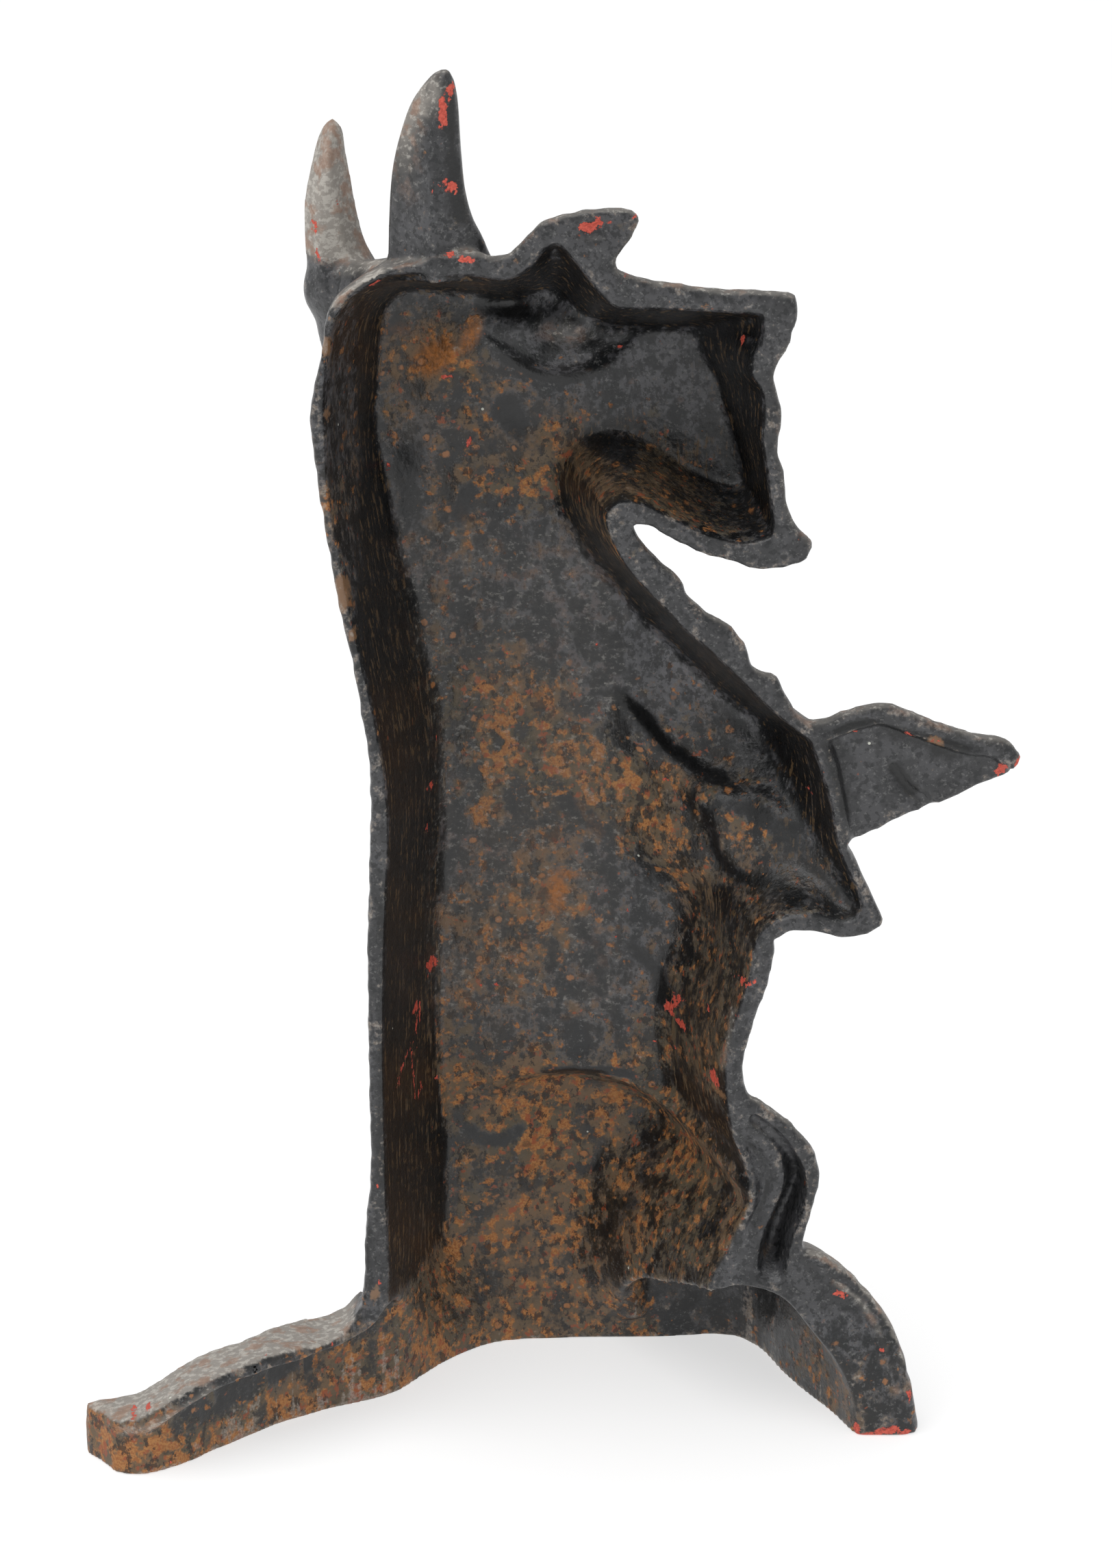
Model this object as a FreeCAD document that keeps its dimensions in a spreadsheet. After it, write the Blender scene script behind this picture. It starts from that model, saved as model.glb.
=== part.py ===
import FreeCAD, Part
import math
import os
from types import SimpleNamespace

# A door stop cast in iron as a begging terrier: the show side is a relief that faces +Y, the back is an open
# hollow whose flat rim lies in one plane and faces -Y. One casting, divided at its necks into named sections.

V = FreeCAD.Vector
doc = FreeCAD.newDocument("DoorStop")
sheet = doc.addObject("Spreadsheet::Sheet", "Sizes")

SIZES = [
    ("wall", 4.5, "cast wall and width of its rim"),
    ("rim_depth", 50.0, "rim plane to show face at the loin"),
    ("haunch_bulge", 4.0, "show face of the haunch beyond the loin"),
    ("head_flatness", 5.0, "show face of the head short of the loin"),
    ("muzzle_taper", 5.0, "further fall of the show face towards the nose"),
    ("lean", 11.0, "how far the back wall leans in over the full depth"),
    ("crown_lean", 2.3, "lean of the crown, as a multiple of the back's"),
    ("snout_lean", 1.5, "lean of the snout's top and of the jaw"),
    ("nose_lean", 1.4, "lean of the nose, chest, forelegs and belly"),
    ("haunch_lean", 2.3, "lean of the haunch towards the bent leg"),
    ("shoulder_round", 6.0, "further lean of the last part of the depth"),
    ("shoulder_depth", 12.0, "depth of that last part"),
    ("ankle_height", 48.0, "floor to the notch over the hind foot"),
    ("knee_rise", 23.0, "notch to the front of the knee"),
    ("lap_rise", 21.0, "knee to the notch between knee and belly"),
    ("paw_rise", 44.0, "lap notch to the underside of the lower paw"),
    ("elbow_rise", 24.0, "underside of the lower paw to the root of the upper one"),
    ("shoulder_rise", 33.0, "root of the upper paw to its top edge at the chest"),
    ("throat_rise", 51.0, "chest end to the throat notch"),
    ("snout_height", 58.0, "throat notch to the top of the snout"),
    ("brow_rise", 12.0, "top of the snout to the crown"),
    ("back_reach", 47.3, "middle line to the straight back"),
    ("loin_hollow", 1.3, "how far the loin draws in from the back"),
    ("nape_reach", 59.0, "middle line to the nape"),
    ("nape_drop", 46.0, "crown to the widest point of the nape"),
    ("crown_back", 40.0, "middle line to the back corner of the crown"),
    ("crown_slope", 6.5, "fall of the crown towards its back corner"),
    ("brow_reach", 14.0, "middle line to the step under the tuft"),
    ("snout_reach", 57.0, "middle line to the nose"),
    ("lip_notch", 5.0, "depth of the notch between nose and lip"),
    ("throat_reach", 19.0, "middle line to the throat notch"),
    ("chest_reach", 63.0, "middle line to the foot of the chest"),
    ("elbow_reach", 72.0, "middle line to the root of the upper paw"),
    ("groin_reach", 53.5, "middle line to the root of the lower paw"),
    ("belly_reach", 47.5, "middle line to the belly over the lap"),
    ("ridge_reach", 57.0, "middle line to the inner ridge of the bent leg"),
    ("leg_width", 10.0, "that ridge to the knee"),
    ("near_ear_height", 41.0, "crown to the tip of the near ear"),
    ("near_ear_width", 23.0, "near ear along its root"),
    ("near_ear_depth", 20.0, "near ear from rim to show side"),
    ("far_ear_height", 46.0, "far ear from root to tip"),
    ("far_ear_width", 19.0, "far ear along its root"),
    ("far_ear_depth", 17.0, "far ear from front to back"),
    ("far_ear_set", 31.0, "rim plane to the middle of the far ear"),
    ("tuft_rise", 8.0, "crown to the top of the brow tuft"),
    ("tuft_depth", 22.0, "brow tuft from rim to show side"),
    ("beard_drop", 11.0, "throat notch to the bottom of the beard"),
    ("beard_reach", 6.0, "beard tip beyond the nose"),
    ("beard_depth", 18.0, "beard from rim to show side"),
    ("upper_paw_reach", 52.0, "chest end to the tip of the upper paw"),
    ("upper_paw_depth", 13.0, "upper paw from rim to show side"),
    ("upper_paw_recess", 2.5, "how far its plate lies behind the rim"),
    ("lower_paw_reach", 28.5, "groin to the tip of the lower paw"),
    ("lower_paw_depth", 24.0, "lower paw from rim to show side"),
    ("leg_depth", 23.0, "bent leg from rim to show side"),
    ("channel_width", 5.0, "channel between the leg's two ridges"),
    ("channel_depth", 14.0, "depth of that channel"),
    ("base_height", 27.0, "height of the wall that stands on the floor"),
    ("foot_reach", 27.0, "knee to the tip of the hind foot"),
    ("foot_front", 6.0, "toe in front of the rim plane"),
    ("foot_thickness", 13.0, "toe from front to back"),
    ("tail_reach", 72.0, "back to the corner of the tail's end"),
    ("tail_swing", 26.0, "tail's end in front of the rim plane"),
    ("tail_thickness", 17.0, "tail from front to back at its root"),
    ("tail_end", 11.5, "tail from front to back at its end"),
    ("tail_root_height", 29.0, "height of the tail at its root"),
    ("tail_end_height", 16.0, "height of the tail at its end"),
    ("flange", 5.0, "thickness of the flange along the top of the tail"),
    ("tip_length", 17.0, "length of the solid end of the tail"),
]
for row, (name, value, note) in enumerate(SIZES, 1):
    sheet.set(f"A{row}", name)
    sheet.set(f"B{row}", str(value))
    sheet.set(f"C{row}", note)
    sheet.setAlias(f"B{row}", name)
doc.recompute()
d = SimpleNamespace(**{name: float(sheet.get(name)) for name, value, note in SIZES})

# heights of the outline, each one stacked on the one below
ankle = d.ankle_height
knee = ankle + d.knee_rise
lap = knee + d.lap_rise
groin = lap + d.paw_rise
elbow = groin + d.elbow_rise
shoulder = elbow + d.shoulder_rise
throat = shoulder + d.throat_rise
snout = throat + d.snout_height
crown = snout + d.brow_rise
nape = crown - d.nape_drop
crown_corner = crown - d.crown_slope
knee_reach = d.ridge_reach + d.leg_width
overrun = 60.0  # how far shapes run past a face that trims them


def bow(start, end, *bends):
    """Start point and the bends of one stretch: each bend is a share of the way and a rise to the left."""
    (x, z), (u, w) = start, end
    points = [start]
    for share, rise in bends:
        points.append((x + share * (u - x) - rise * (w - z), z + share * (w - z) + rise * (u - x)))
    return points


def inset(loop, amount):
    """A closed loop of points moved inward (to the right of its clockwise run) by the same amount all round."""
    moved = []
    for i, (x, z) in enumerate(loop):
        before, after = loop[i - 1], loop[(i + 1) % len(loop)]
        a = V(x - before[0], 0, z - before[1]).normalize()
        b = V(after[0] - x, 0, after[1] - z).normalize()
        across = V(a.z + b.z, 0, -a.x - b.x).normalize()
        reach = amount / max(0.5, across.dot(V(a.z, 0, -a.x)))
        moved.append((x + reach * across.x, z + reach * across.z))
    return moved


def leant(lean, y):
    """How far a point has moved at depth y: lean is its (x, z) movement as a multiple of the back's lean."""
    run = y * d.lean / face + max(0.0, y - turn_depth) * d.shoulder_round / d.shoulder_depth / math.hypot(*lean)
    return lean[0] * run, lean[1] * run


def wire(stretches, amount, y):
    """The body's outline in the plane at depth y, drawn in by amount and leant in: one curve per stretch."""
    loop = inset([p for lean, stretch in stretches for p in stretch], amount)
    leans = []
    for i, (lean, stretch) in enumerate(stretches):
        following = stretches[(i + 1) % len(stretches)][0]
        for j in range(len(stretch)):
            share = j / len(stretch)
            leans.append([a + share * (b - a) for a, b in zip(lean, following)])
    loop = [(x + leant(lean, y)[0], z + leant(lean, y)[1]) for (x, z), lean in zip(loop, leans)]
    edges = []
    at = 0
    for lean, stretch in stretches:
        run = [loop[(at + i) % len(loop)] for i in range(len(stretch) + 1)]
        at += len(stretch)
        points = [V(x, y, z) for x, z in run]
        if len(points) == 2:
            edges.append(Part.makeLine(*points))
        else:
            curve = Part.BSplineCurve()
            curve.interpolate(points)
            edges.append(curve.toShape())
    return Part.Wire(edges)


def feature(name, shape):
    made = doc.addObject("Part::Feature", name)
    made.Shape = shape
    return made


def prism(name, points, front, depth, axis="Y"):
    """A straight-sided prism run from front along one axis: points are the other two coordinates, in order."""
    if axis == "Y":
        corners = [V(x, front, z) for x, z in points]
    elif axis == "Z":
        corners = [V(x, y, front) for x, y in points]
    else:
        corners = [V(front, y, z) for y, z in points]
    outline = feature(name + "_outline", Part.makePolygon(corners + corners[:1]))
    made = doc.addObject("Part::Extrusion", name)
    made.Base = outline
    made.DirMode = "Custom"
    made.Dir = V(*[float(axis == name) for name in "XYZ"])
    made.Solid = True
    if isinstance(depth, str):
        made.setExpression("LengthFwd", "Sizes." + depth)
    else:
        made.LengthFwd = depth
    return made


def boolean(kind, name, base, tool):
    made = doc.addObject("Part::" + kind, name)
    made.Base, made.Tool = base, tool
    return made


def fuse(name, shapes):
    made = doc.addObject("Part::MultiFuse", name)
    made.Shapes = shapes
    return made


def common(name, shapes):
    made = doc.addObject("Part::MultiCommon", name)
    made.Shapes = shapes
    return made


# ---- the drafted body: head, neck, trunk and haunch in one outline, clockwise from the floor at the back
spine_foot = (-d.back_reach - 2.0, -overrun)
haunch_back = (-d.back_reach - 1.5, ankle)
spine = (-d.back_reach, groin)
loin = (-d.back_reach + d.loin_hollow, shoulder - 12.0)
nape_point = (-d.nape_reach, nape)
crown_edge = (-d.crown_back - 13.5, crown_corner - 8.0)
crown_back = (-d.crown_back, crown_corner)
crown_mid = (-d.crown_back * 0.4, crown)
brow = (d.brow_reach, snout + 0.55 * d.brow_rise)
snout_root = (d.brow_reach + 7.0, snout + 3.0)
nose = (d.snout_reach, snout - 1.0)
lip = (d.snout_reach - d.lip_notch, snout - 0.36 * d.snout_height)
jaw = (d.snout_reach - 1.0, throat - 2.0)
throat_point = (d.throat_reach, throat)
chest = (d.chest_reach, shoulder)
elbow_point = (d.elbow_reach - 5.0, elbow)
groin_point = (d.groin_reach, groin - 10.0)
belly = (d.belly_reach, lap + 7.0)
ridge = (d.ridge_reach, knee + 1.0)
shin = (d.ridge_reach - 3.0, ankle + 2.0)
leg_foot = (d.ridge_reach + 3.0, -overrun)

back = (1.0, 0.0)
front = (-d.nose_lean, 0.0)
leg = (-d.haunch_lean, 0.0)
BODY = [
    (back, bow(spine_foot, haunch_back)),
    (back, bow(haunch_back, spine, (0.45, -0.01))),
    (back, bow(spine, loin, (0.5, 0.01))),
    (back, bow(loin, nape_point, (0.5, 0.01))),
    (back, bow(nape_point, crown_edge, (0.5, 0.06))),
    ((1.2, -0.4 * d.crown_lean), bow(crown_edge, crown_back)),
    ((0.9, -0.8 * d.crown_lean), bow(crown_back, crown_mid)),
    ((0.0, -d.crown_lean), bow(crown_mid, brow, (0.5, 0.05))),
    ((-0.2, -d.crown_lean), bow(brow, snout_root)),
    ((-0.2, -d.snout_lean), bow(snout_root, nose, (0.5, -0.01))),
    ((-d.nose_lean, -d.snout_lean), bow(nose, lip)),
    (front, bow(lip, jaw)),
    ((-d.nose_lean, d.snout_lean), bow(jaw, throat_point, (0.5, 0.12))),
    ((-d.nose_lean, 0.4 * d.snout_lean), bow(throat_point, chest, (0.3, -0.05), (0.65, -0.03))),
    ((-d.nose_lean, -0.5 * d.nose_lean), bow(chest, elbow_point, (0.5, 0.03))),
    (front, bow(elbow_point, groin_point, (0.55, 0.02))),
    (front, bow(groin_point, belly, (0.5, 0.02))),
    (front, bow(belly, ridge, (0.35, -0.06), (0.75, 0.05))),
    (leg, bow(ridge, shin, (0.5, 0.02))),
    (leg, bow(shin, leg_foot)),
    (leg, bow(leg_foot, spine_foot)),
]


face = d.rim_depth + d.haunch_bulge
turn_depth = face - d.shoulder_depth


def drafted(name, amount, front):
    """The body's outline leaning in as it goes back from the depth front: amount is the inset at the rim."""
    levels = [front, turn_depth, face + 2.0]
    rims = [feature(f"{name}_rim_{i}", wire(BODY, amount, y)) for i, y in enumerate(levels)]
    made = doc.addObject("Part::Loft", name)
    made.Sections = rims
    made.Solid = True
    made.Ruled = True
    return made


def side_profile(name, short):
    """Everything in front of the show face, seen from the side; short draws the face in by a wall."""
    face = [
        (d.rim_depth + d.haunch_bulge, -overrun),
        (d.rim_depth + d.haunch_bulge, knee),
        (d.rim_depth, groin),
        (d.rim_depth, shoulder),
        (d.rim_depth - d.head_flatness, throat),
        (d.rim_depth - d.head_flatness, crown + overrun),
    ]
    back = [V(-2 * overrun, y - short, z) for y, z in face]
    curve = Part.BSplineCurve()
    curve.interpolate(back)
    ends = [back[-1], V(-2 * overrun, -overrun, back[-1].z), V(-2 * overrun, -overrun, back[0].z), back[0]]
    outline = feature(name + "_outline", Part.Wire([curve.toShape()] + Part.makePolygon(ends).Edges))
    made = doc.addObject("Part::Extrusion", name)
    made.Base = outline
    made.DirMode = "Custom"
    made.Dir = V(1, 0, 0)
    made.LengthFwd = 5 * overrun
    made.Solid = True
    return made


def slab(name, low, high):
    """All the space between two heights."""
    far = 5 * overrun
    return prism(name, [(-far, -far), (far, -far), (far, far), (-far, far)], low, high - low, "Z")


above_base = slab("above_base", d.base_height, crown + 2 * overrun)
body_lean = drafted("body_lean", 0.0, 0.0)
hollow_lean = drafted("hollow_lean", d.wall, -d.wall)


def taper(name, short):
    """What the head's show face loses towards the nose; short draws it in by a wall."""
    edge = d.rim_depth - d.head_flatness - short
    nose_edge = edge - d.muzzle_taper
    plan = [(0.0, edge), (d.snout_reach, nose_edge), (2 * overrun, nose_edge), (2 * overrun, 2 * overrun)]
    return prism(name, plan + [(0.0, 2 * overrun)], throat - d.wall, overrun + d.snout_height, "Z")


body_block = common("body_block", [body_lean, side_profile("show_face", 0.0), above_base])
body_solid = boolean("Cut", "body_solid", body_block, taper("show_taper", 0.0))
hollow_block = common("hollow_block", [hollow_lean, side_profile("inner_face", d.wall)])
body_hollow = boolean("Cut", "body_hollow", hollow_block, taper("inner_taper", d.wall))

far = 3 * overrun

# ---- lower forepaw: a hollow wedge that opens into the trunk
paw_tip = (d.groin_reach + d.lower_paw_reach, groin + 4.0)
paw_heel = (d.groin_reach + 1.2, groin - 0.8)
paw_back = (d.groin_reach - 20.0, groin + 4.0)
wrist = (d.elbow_reach + 0.5, elbow + 0.5)
paw_top = (d.groin_reach - 10.0, elbow - 2.0)
LOWER_PAW = [paw_back, paw_top, wrist] + bow(wrist, paw_tip, (0.45, 0.03))[1:] + [paw_tip]
LOWER_PAW += bow(paw_tip, paw_heel, (0.5, -0.06))[1:] + [paw_heel]
LOWER_PAW += [(d.groin_reach - 1.0, groin - 12.0)]
paw_block = prism("paw_block", LOWER_PAW, 0.0, "lower_paw_depth")
paw_inside = inset(LOWER_PAW, d.wall)
paw_inside[0] = (paw_inside[0][0] - d.wall, paw_inside[0][1])
paw_hollow = prism("paw_hollow", paw_inside, -d.wall, d.lower_paw_depth)

# ---- tail: an L in section, its flange on top, swinging out in front of the rim plane
tail_root = -d.back_reach + 3.0
tail_corner = -d.back_reach - d.tail_reach
end_face = V(7.6, -8.6, 0).normalize() * d.tail_end
tip_far = (tail_corner, -d.tail_swing - end_face.y)
tip_front = (tail_corner + end_face.x, -d.tail_swing)
front_root = (tail_root, 1.0)
far_root = (tail_root, front_root[1] + d.tail_thickness)
front_line = bow(tip_front, front_root, (0.3, 0.0), (0.52, -0.03), (0.78, -0.05))
front_line.insert(1, (tip_front[0] + 7.0, tip_front[1] - 0.8))
far_line = bow(far_root, tip_far, (0.25, 0.05), (0.45, 0.06), (0.62, 0.04), (0.82, 0.01))
TAIL_PLAN = front_line + [front_root] + far_line + [tip_far]
wall_root = (tail_root, far_root[1] - d.wall)
wall_end = (tip_front[0] + d.tip_length, tip_front[1] + 2.5)
recess_line = bow(wall_root, wall_end, (0.3, 0.03), (0.55, 0.04), (0.8, 0.02))
mouth = tail_root + 2 * d.wall
TAIL_RECESS = [(mouth, wall_root[1] + d.wall)] + recess_line + [wall_end, (wall_end[0], -far), (mouth, -far)]
tail_end_top = (tail_corner - 1.0, d.tail_end_height)
tail_top = bow(tail_end_top, (tail_root, d.tail_root_height), (0.14, 0.0), (0.4, 0.05), (0.7, 0.04))
tail_top += [(tail_root, d.tail_root_height)]
TAIL_SIDE = tail_top + [(tail_root, 0.0), (tail_corner - 1.0, 0.0)]
FLANGE_SIDE = [(x, z - d.flange) for x, z in tail_top] + [(mouth, d.tail_root_height - d.flange)]
FLANGE_SIDE += [(mouth, -overrun), (tail_corner - 1.0, -overrun)]
tail_plan = prism("tail_plan", TAIL_PLAN, 0.0, "snout_height", "Z")
tail_side = prism("tail_side", TAIL_SIDE, -far, 2 * far)
tail_block = common("tail_block", [tail_plan, tail_side])
recess_plan = prism("recess_plan", TAIL_RECESS, -overrun, 2 * overrun, "Z")
recess_side = prism("recess_side", FLANGE_SIDE, -far, 2 * far)
tail_recess = common("tail_recess", [recess_plan, recess_side])

# ---- base: the foot of the shell, a band on the floor that widens up into the haunch's own section
toe_inner = (knee_reach + 10.0, -d.foot_front)
toe_tip = knee_reach + d.foot_reach
back_edge = -d.back_reach - 1.9
front_edge = d.ridge_reach - 1.7
FLOOR_LINE = [
    (tail_root, 0.0),
    far_root,
    (tail_root + 7.0, far_root[1] + 12.0),
    (tail_root + 17.0, face - 10.0),
    (tail_root + 28.0, face - 1.5),
    (0.0, face + 0.5),
    (d.belly_reach - 10.0, face + 1.5),
    (d.belly_reach + 3.0, face + 1.5),
    (d.ridge_reach + 3.0, face - 9.0),
    (d.ridge_reach + 8.0, face - 21.0),
    (d.ridge_reach + 4.0, 0.0),
]
BACK_DEPTHS = [0.0, far_root[1], far_root[1] + 12.0, turn_depth, face + 1.0]
FRONT_DEPTHS = [face + 1.0, turn_depth, 20.0, 0.0]
TOP_LINE = [(back_edge + leant(back, y)[0], y) for y in BACK_DEPTHS]
TOP_LINE += [(-10.0, face + 2.0), (0.0, face + 2.0)]
TOP_LINE += [(front_edge + leant(leg, y)[0], y) for y in FRONT_DEPTHS]


def flared(name, amount, below):
    """The base between the floor and the haunch, drawn in by amount and open by below at its front and foot."""
    rims = []
    for i, (line, z) in enumerate([(FLOOR_LINE, -below), (TOP_LINE, d.base_height + 0.5 * below)]):
        moved = inset(line, amount)
        moved[0], moved[-1] = (moved[0][0], -below), (moved[-1][0], -below)
        corners = [V(x, y, z) for x, y in moved]
        rims.append(feature(f"{name}_rim_{i}", Part.makePolygon(corners + corners[:1])))
    made = doc.addObject("Part::Loft", name)
    made.Sections = rims
    made.Solid = True
    made.Ruled = True
    return made


base_ring = boolean("Cut", "base_ring", flared("base_outer", 0.0, 0.0), flared("base_inner", d.wall, 0.2))
FOOT_BAND = FLOOR_LINE[6:10] + [
    (d.ridge_reach + 13.0, face - 32.0),
    (d.ridge_reach + 19.0, face - 42.0),
    (toe_tip - 4.0, 8.0),
    (toe_tip, 2.0),
    (toe_tip - 0.5, -d.foot_front + 1.5),
    (toe_tip - 4.0, -d.foot_front),
    toe_inner,
]
inner_band = inset(FOOT_BAND[:6] + [(toe_tip, -far), (tail_root, -far)], d.wall)[:6]
band = prism("band", FOOT_BAND + inner_band[::-1], 0.0, "snout_height", "Z")
side_split = d.ridge_reach - 5.0
BASE_SIDE = [(-far, 0.0), (-far, d.base_height), (side_split, d.base_height), (side_split, 0.0)]
base_side = prism("base_side", BASE_SIDE, -far, 2 * far)
foot_notch = (knee_reach - 3.7, ankle)
foot_top = bow(foot_notch, (toe_tip, 2.0), (0.08, 0.05), (0.35, 0.14), (0.65, 0.14), (0.9, 0.06))
FOOT_SIDE = [(side_split, 0.0), (side_split, d.base_height)] + foot_top + [(toe_tip, 2.0), (toe_tip, 0.0)]
foot_side = prism("foot_side", FOOT_SIDE, -far, 2 * far)
foot_wall = common("foot_wall", [band, foot_side])
# the instep: a solid tongue that comes down from the shank and forward to the toe, open underneath
instep_edge = [
    (toe_inner[0] + 3.0, 0.0),
    (toe_inner[0], 0.5 * d.base_height),
    (knee_reach - 1.0, d.base_height + 2.0),
    (side_split + 2.0, ankle - 9.0),
]
instep_block = prism("instep_block", foot_top + [(toe_tip, 2.0), (toe_tip, 0.0)] + instep_edge, -d.foot_front,
                     d.foot_front + d.foot_thickness)
instep_face = [(-d.foot_front, 0.0), (0.0, ankle), (0.0, crown), (-far, crown), (-far, 0.0)]
instep = boolean("Cut", "instep", instep_block, prism("instep_face", instep_face, 0.0, far, "X"))

# ---- bent leg: two ridges with a channel between them, its lower edge standing over the foot
KNEE = bow((d.belly_reach + 1.2, lap), (knee_reach, knee), (0.3, 0.06), (0.65, 0.08))
KNEE += bow((knee_reach, knee), foot_notch, (0.3, 0.03), (0.65, 0.0)) + [foot_notch]
KNEE += [
    (side_split, d.base_height),
    (d.belly_reach - 15.0, d.base_height + 14.0),
    (d.belly_reach - 15.0, lap),
]
leg_block = prism("leg_block", KNEE, 0.0, "leg_depth")
channel_line = [
    (d.ridge_reach - 3.0, lap - 8.0),
    (d.ridge_reach + 3.0, knee + 3.0),
    (d.ridge_reach + 3.5, knee - 6.0),
    (d.ridge_reach, ankle + 4.0),
    (d.ridge_reach - 1.0, ankle - 8.0),
]
CHANNEL = channel_line + [(x - d.channel_width, z - 1.0) for x, z in channel_line[:0:-1]]
channel = prism("channel", CHANNEL, -1.0, d.channel_depth + 1.0)

# ---- upper forepaw: a thin plate whose top edge stands forward as a rim
upper_tip = (d.chest_reach + d.upper_paw_reach, shoulder - 9.0)
upper_root = (d.elbow_reach - 2.0, elbow + 0.5)
upper_start = (d.chest_reach - 4.0, shoulder - 2.0)
upper_edge = bow(upper_start, upper_tip, (0.15, 0.09), (0.35, 0.15), (0.62, 0.08), (0.9, 0.05))
lower_edge = bow(upper_tip, upper_root, (0.25, 0.0), (0.6, -0.03)) + [upper_root]
inner_edge = [(d.elbow_reach - 14.0, elbow + 2.0)]
UPPER_PAW = upper_edge + lower_edge + inner_edge
rim_edge = [(x - 0.6, z - d.wall) for x, z in upper_edge[:-1]] + [(upper_tip[0] - 7.0, upper_tip[1] + 1.0)]
UPPER_FIELD = rim_edge + [(upper_tip[0], elbow), (d.elbow_reach - 14.0, elbow - 6.0)]
upper_block = prism("upper_block", UPPER_PAW, 0.0, "upper_paw_depth")
upper_field = prism("upper_field", UPPER_FIELD, -1.0, d.upper_paw_recess + 1.0)

# ---- beard and brow tuft: solid locks of hair
beard_tip = (d.snout_reach + d.beard_reach, throat - d.beard_drop + 5.5)
BEARD = bow((d.throat_reach + 14.0, throat + 1.0), (jaw[0] - 1.0, throat + 2.0))
BEARD += bow((jaw[0] - 1.0, throat + 2.0), beard_tip, (0.5, -0.08))
BEARD += bow(beard_tip, (d.throat_reach + 20.0, throat - 9.0), (0.15, -0.13), (0.5, -0.1))
BEARD += [(d.throat_reach + 20.0, throat - 9.0)]
beard_block = prism("beard_block", BEARD, 0.0, "beard_depth")
tuft_tip = (d.brow_reach + 5.8, crown + d.tuft_rise - 2.4)
TUFT = bow((-d.brow_reach + 3.0, crown + 0.3), tuft_tip, (0.3, 0.08), (0.62, 0.1), (0.88, 0.08))
TUFT += bow(tuft_tip, (d.brow_reach + 0.3, snout + 0.6 * d.brow_rise), (0.25, 0.03))
TUFT += [(d.brow_reach + 0.3, snout + 0.6 * d.brow_rise), (0.0, snout)]
tuft_block = prism("tuft_block", TUFT, 0.0, "tuft_depth")


def horn(name, root, tip, front, width, depth, levels):
    """An ear: a horn with a ridge down its front; a level is a share of the way, of the width and a shift."""
    rims = []
    for i, (share, wide, shift) in enumerate(levels):
        x = root[0] + share * (tip[0] - root[0]) + shift * width
        z = root[1] + share * (tip[1] - root[1])
        half, deep = width * wide / 2, depth * wide ** 0.7
        corners = [(-1, 0.38), (-0.15, 0.0), (0.8, 0.12), (1, 0.42), (0.6, 0.86), (0, 1), (-0.7, 0.84)]
        points = [V(x + a * half, front + b * deep, z) for a, b in corners]
        rims.append(feature(f"{name}_rim_{i}", Part.makePolygon(points + points[:1])))
    made = doc.addObject("Part::Loft", name)
    made.Sections = rims
    made.Solid = True
    made.Ruled = True
    return made


near_root = (-d.crown_back + 12.0, crown - 6.0)
near_tip = (near_root[0] + 1.6, crown + d.near_ear_height)
NEAR_LEVELS = [
    (-0.2, 1.2, 0.0),
    (0.0, 1.14, 0.0),
    (0.13, 0.92, -0.05),
    (0.45, 0.78, -0.1),
    (0.74, 0.58, -0.05),
    (0.92, 0.34, 0.0),
    (1.0, 0.07, 0.0),
]
near_horn = horn("near_horn", near_root, near_tip, 0.0, d.near_ear_width, d.near_ear_depth, NEAR_LEVELS)
far_root_point = (-d.crown_back - 11.0, crown - d.far_ear_height + 20.0)
far_tip = (-d.crown_back - 13.8, far_root_point[1] + d.far_ear_height)
FAR_LEVELS = [
    (-0.15, 0.9, 0.15),
    (0.0, 1.0, 0.0),
    (0.31, 0.81, -0.1),
    (0.62, 0.63, -0.15),
    (0.87, 0.39, -0.1),
    (1.0, 0.07, 0.0),
]
far_front = d.far_ear_set - d.far_ear_depth / 2
far_horn = horn("far_horn", far_root_point, far_tip, far_front, d.far_ear_width, d.far_ear_depth, FAR_LEVELS)

# ---- the hollow body, and everything that trims the parts standing on it
hollows = fuse("hollows", [body_hollow, paw_hollow, tail_recess])
shell = boolean("Cut", "shell", body_solid, hollows)


def section(label, points):
    """The part of the shell inside one region of the outline."""
    region = prism(label + "_region", points, -far, 2 * far)
    return boolean("Common", label, shell, region)


def standing(label, block, *trims):
    """A block cut back to the body's outside and by its own hollows."""
    trim = fuse(label + "_trim", [body_solid] + list(trims)) if trims else body_solid
    return boolean("Cut", label, block, trim)


# ---- where the casting is divided: across its necks, so that neighbours share one cut face
sky = crown + 2 * overrun
jaw_line = (d.throat_reach - 4.0, sky)
throat_split = (d.throat_reach - 4.0, throat + 2.0)
under_jaw = [throat_point, (d.throat_reach + 21.0, throat - 16.0), (far, throat - 18.0)]
nape_split = (-far, nape - 6.0)
loin_split = (-far, shoulder + 3.0)
chest_split = (d.chest_reach - 8.0, shoulder + 1.0)
chest_out = (far, shoulder + 1.0)
armpit = [
    (d.brow_reach + 12.0, shoulder - 8.0),
    (d.brow_reach + 10.0, elbow),
    (d.brow_reach + 22.0, groin - 4.0),
]
waist_back = (-far, groin - 11.0)
waist_front = (d.groin_reach - 1.0, groin - 11.0)
waist_out = (far, groin - 11.0)
arch_back = (-d.back_reach + 4.0, knee + 6.0)
arch_front = (d.belly_reach, knee + 6.0)
arch = [(-far, knee + 6.0)] + bow(arch_back, arch_front, (0.3, 0.1), (0.5, 0.13), (0.7, 0.1))
arch += [arch_front, (far, knee + 6.0)]
floor_line = [(far, -overrun), (-far, -overrun)]

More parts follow.
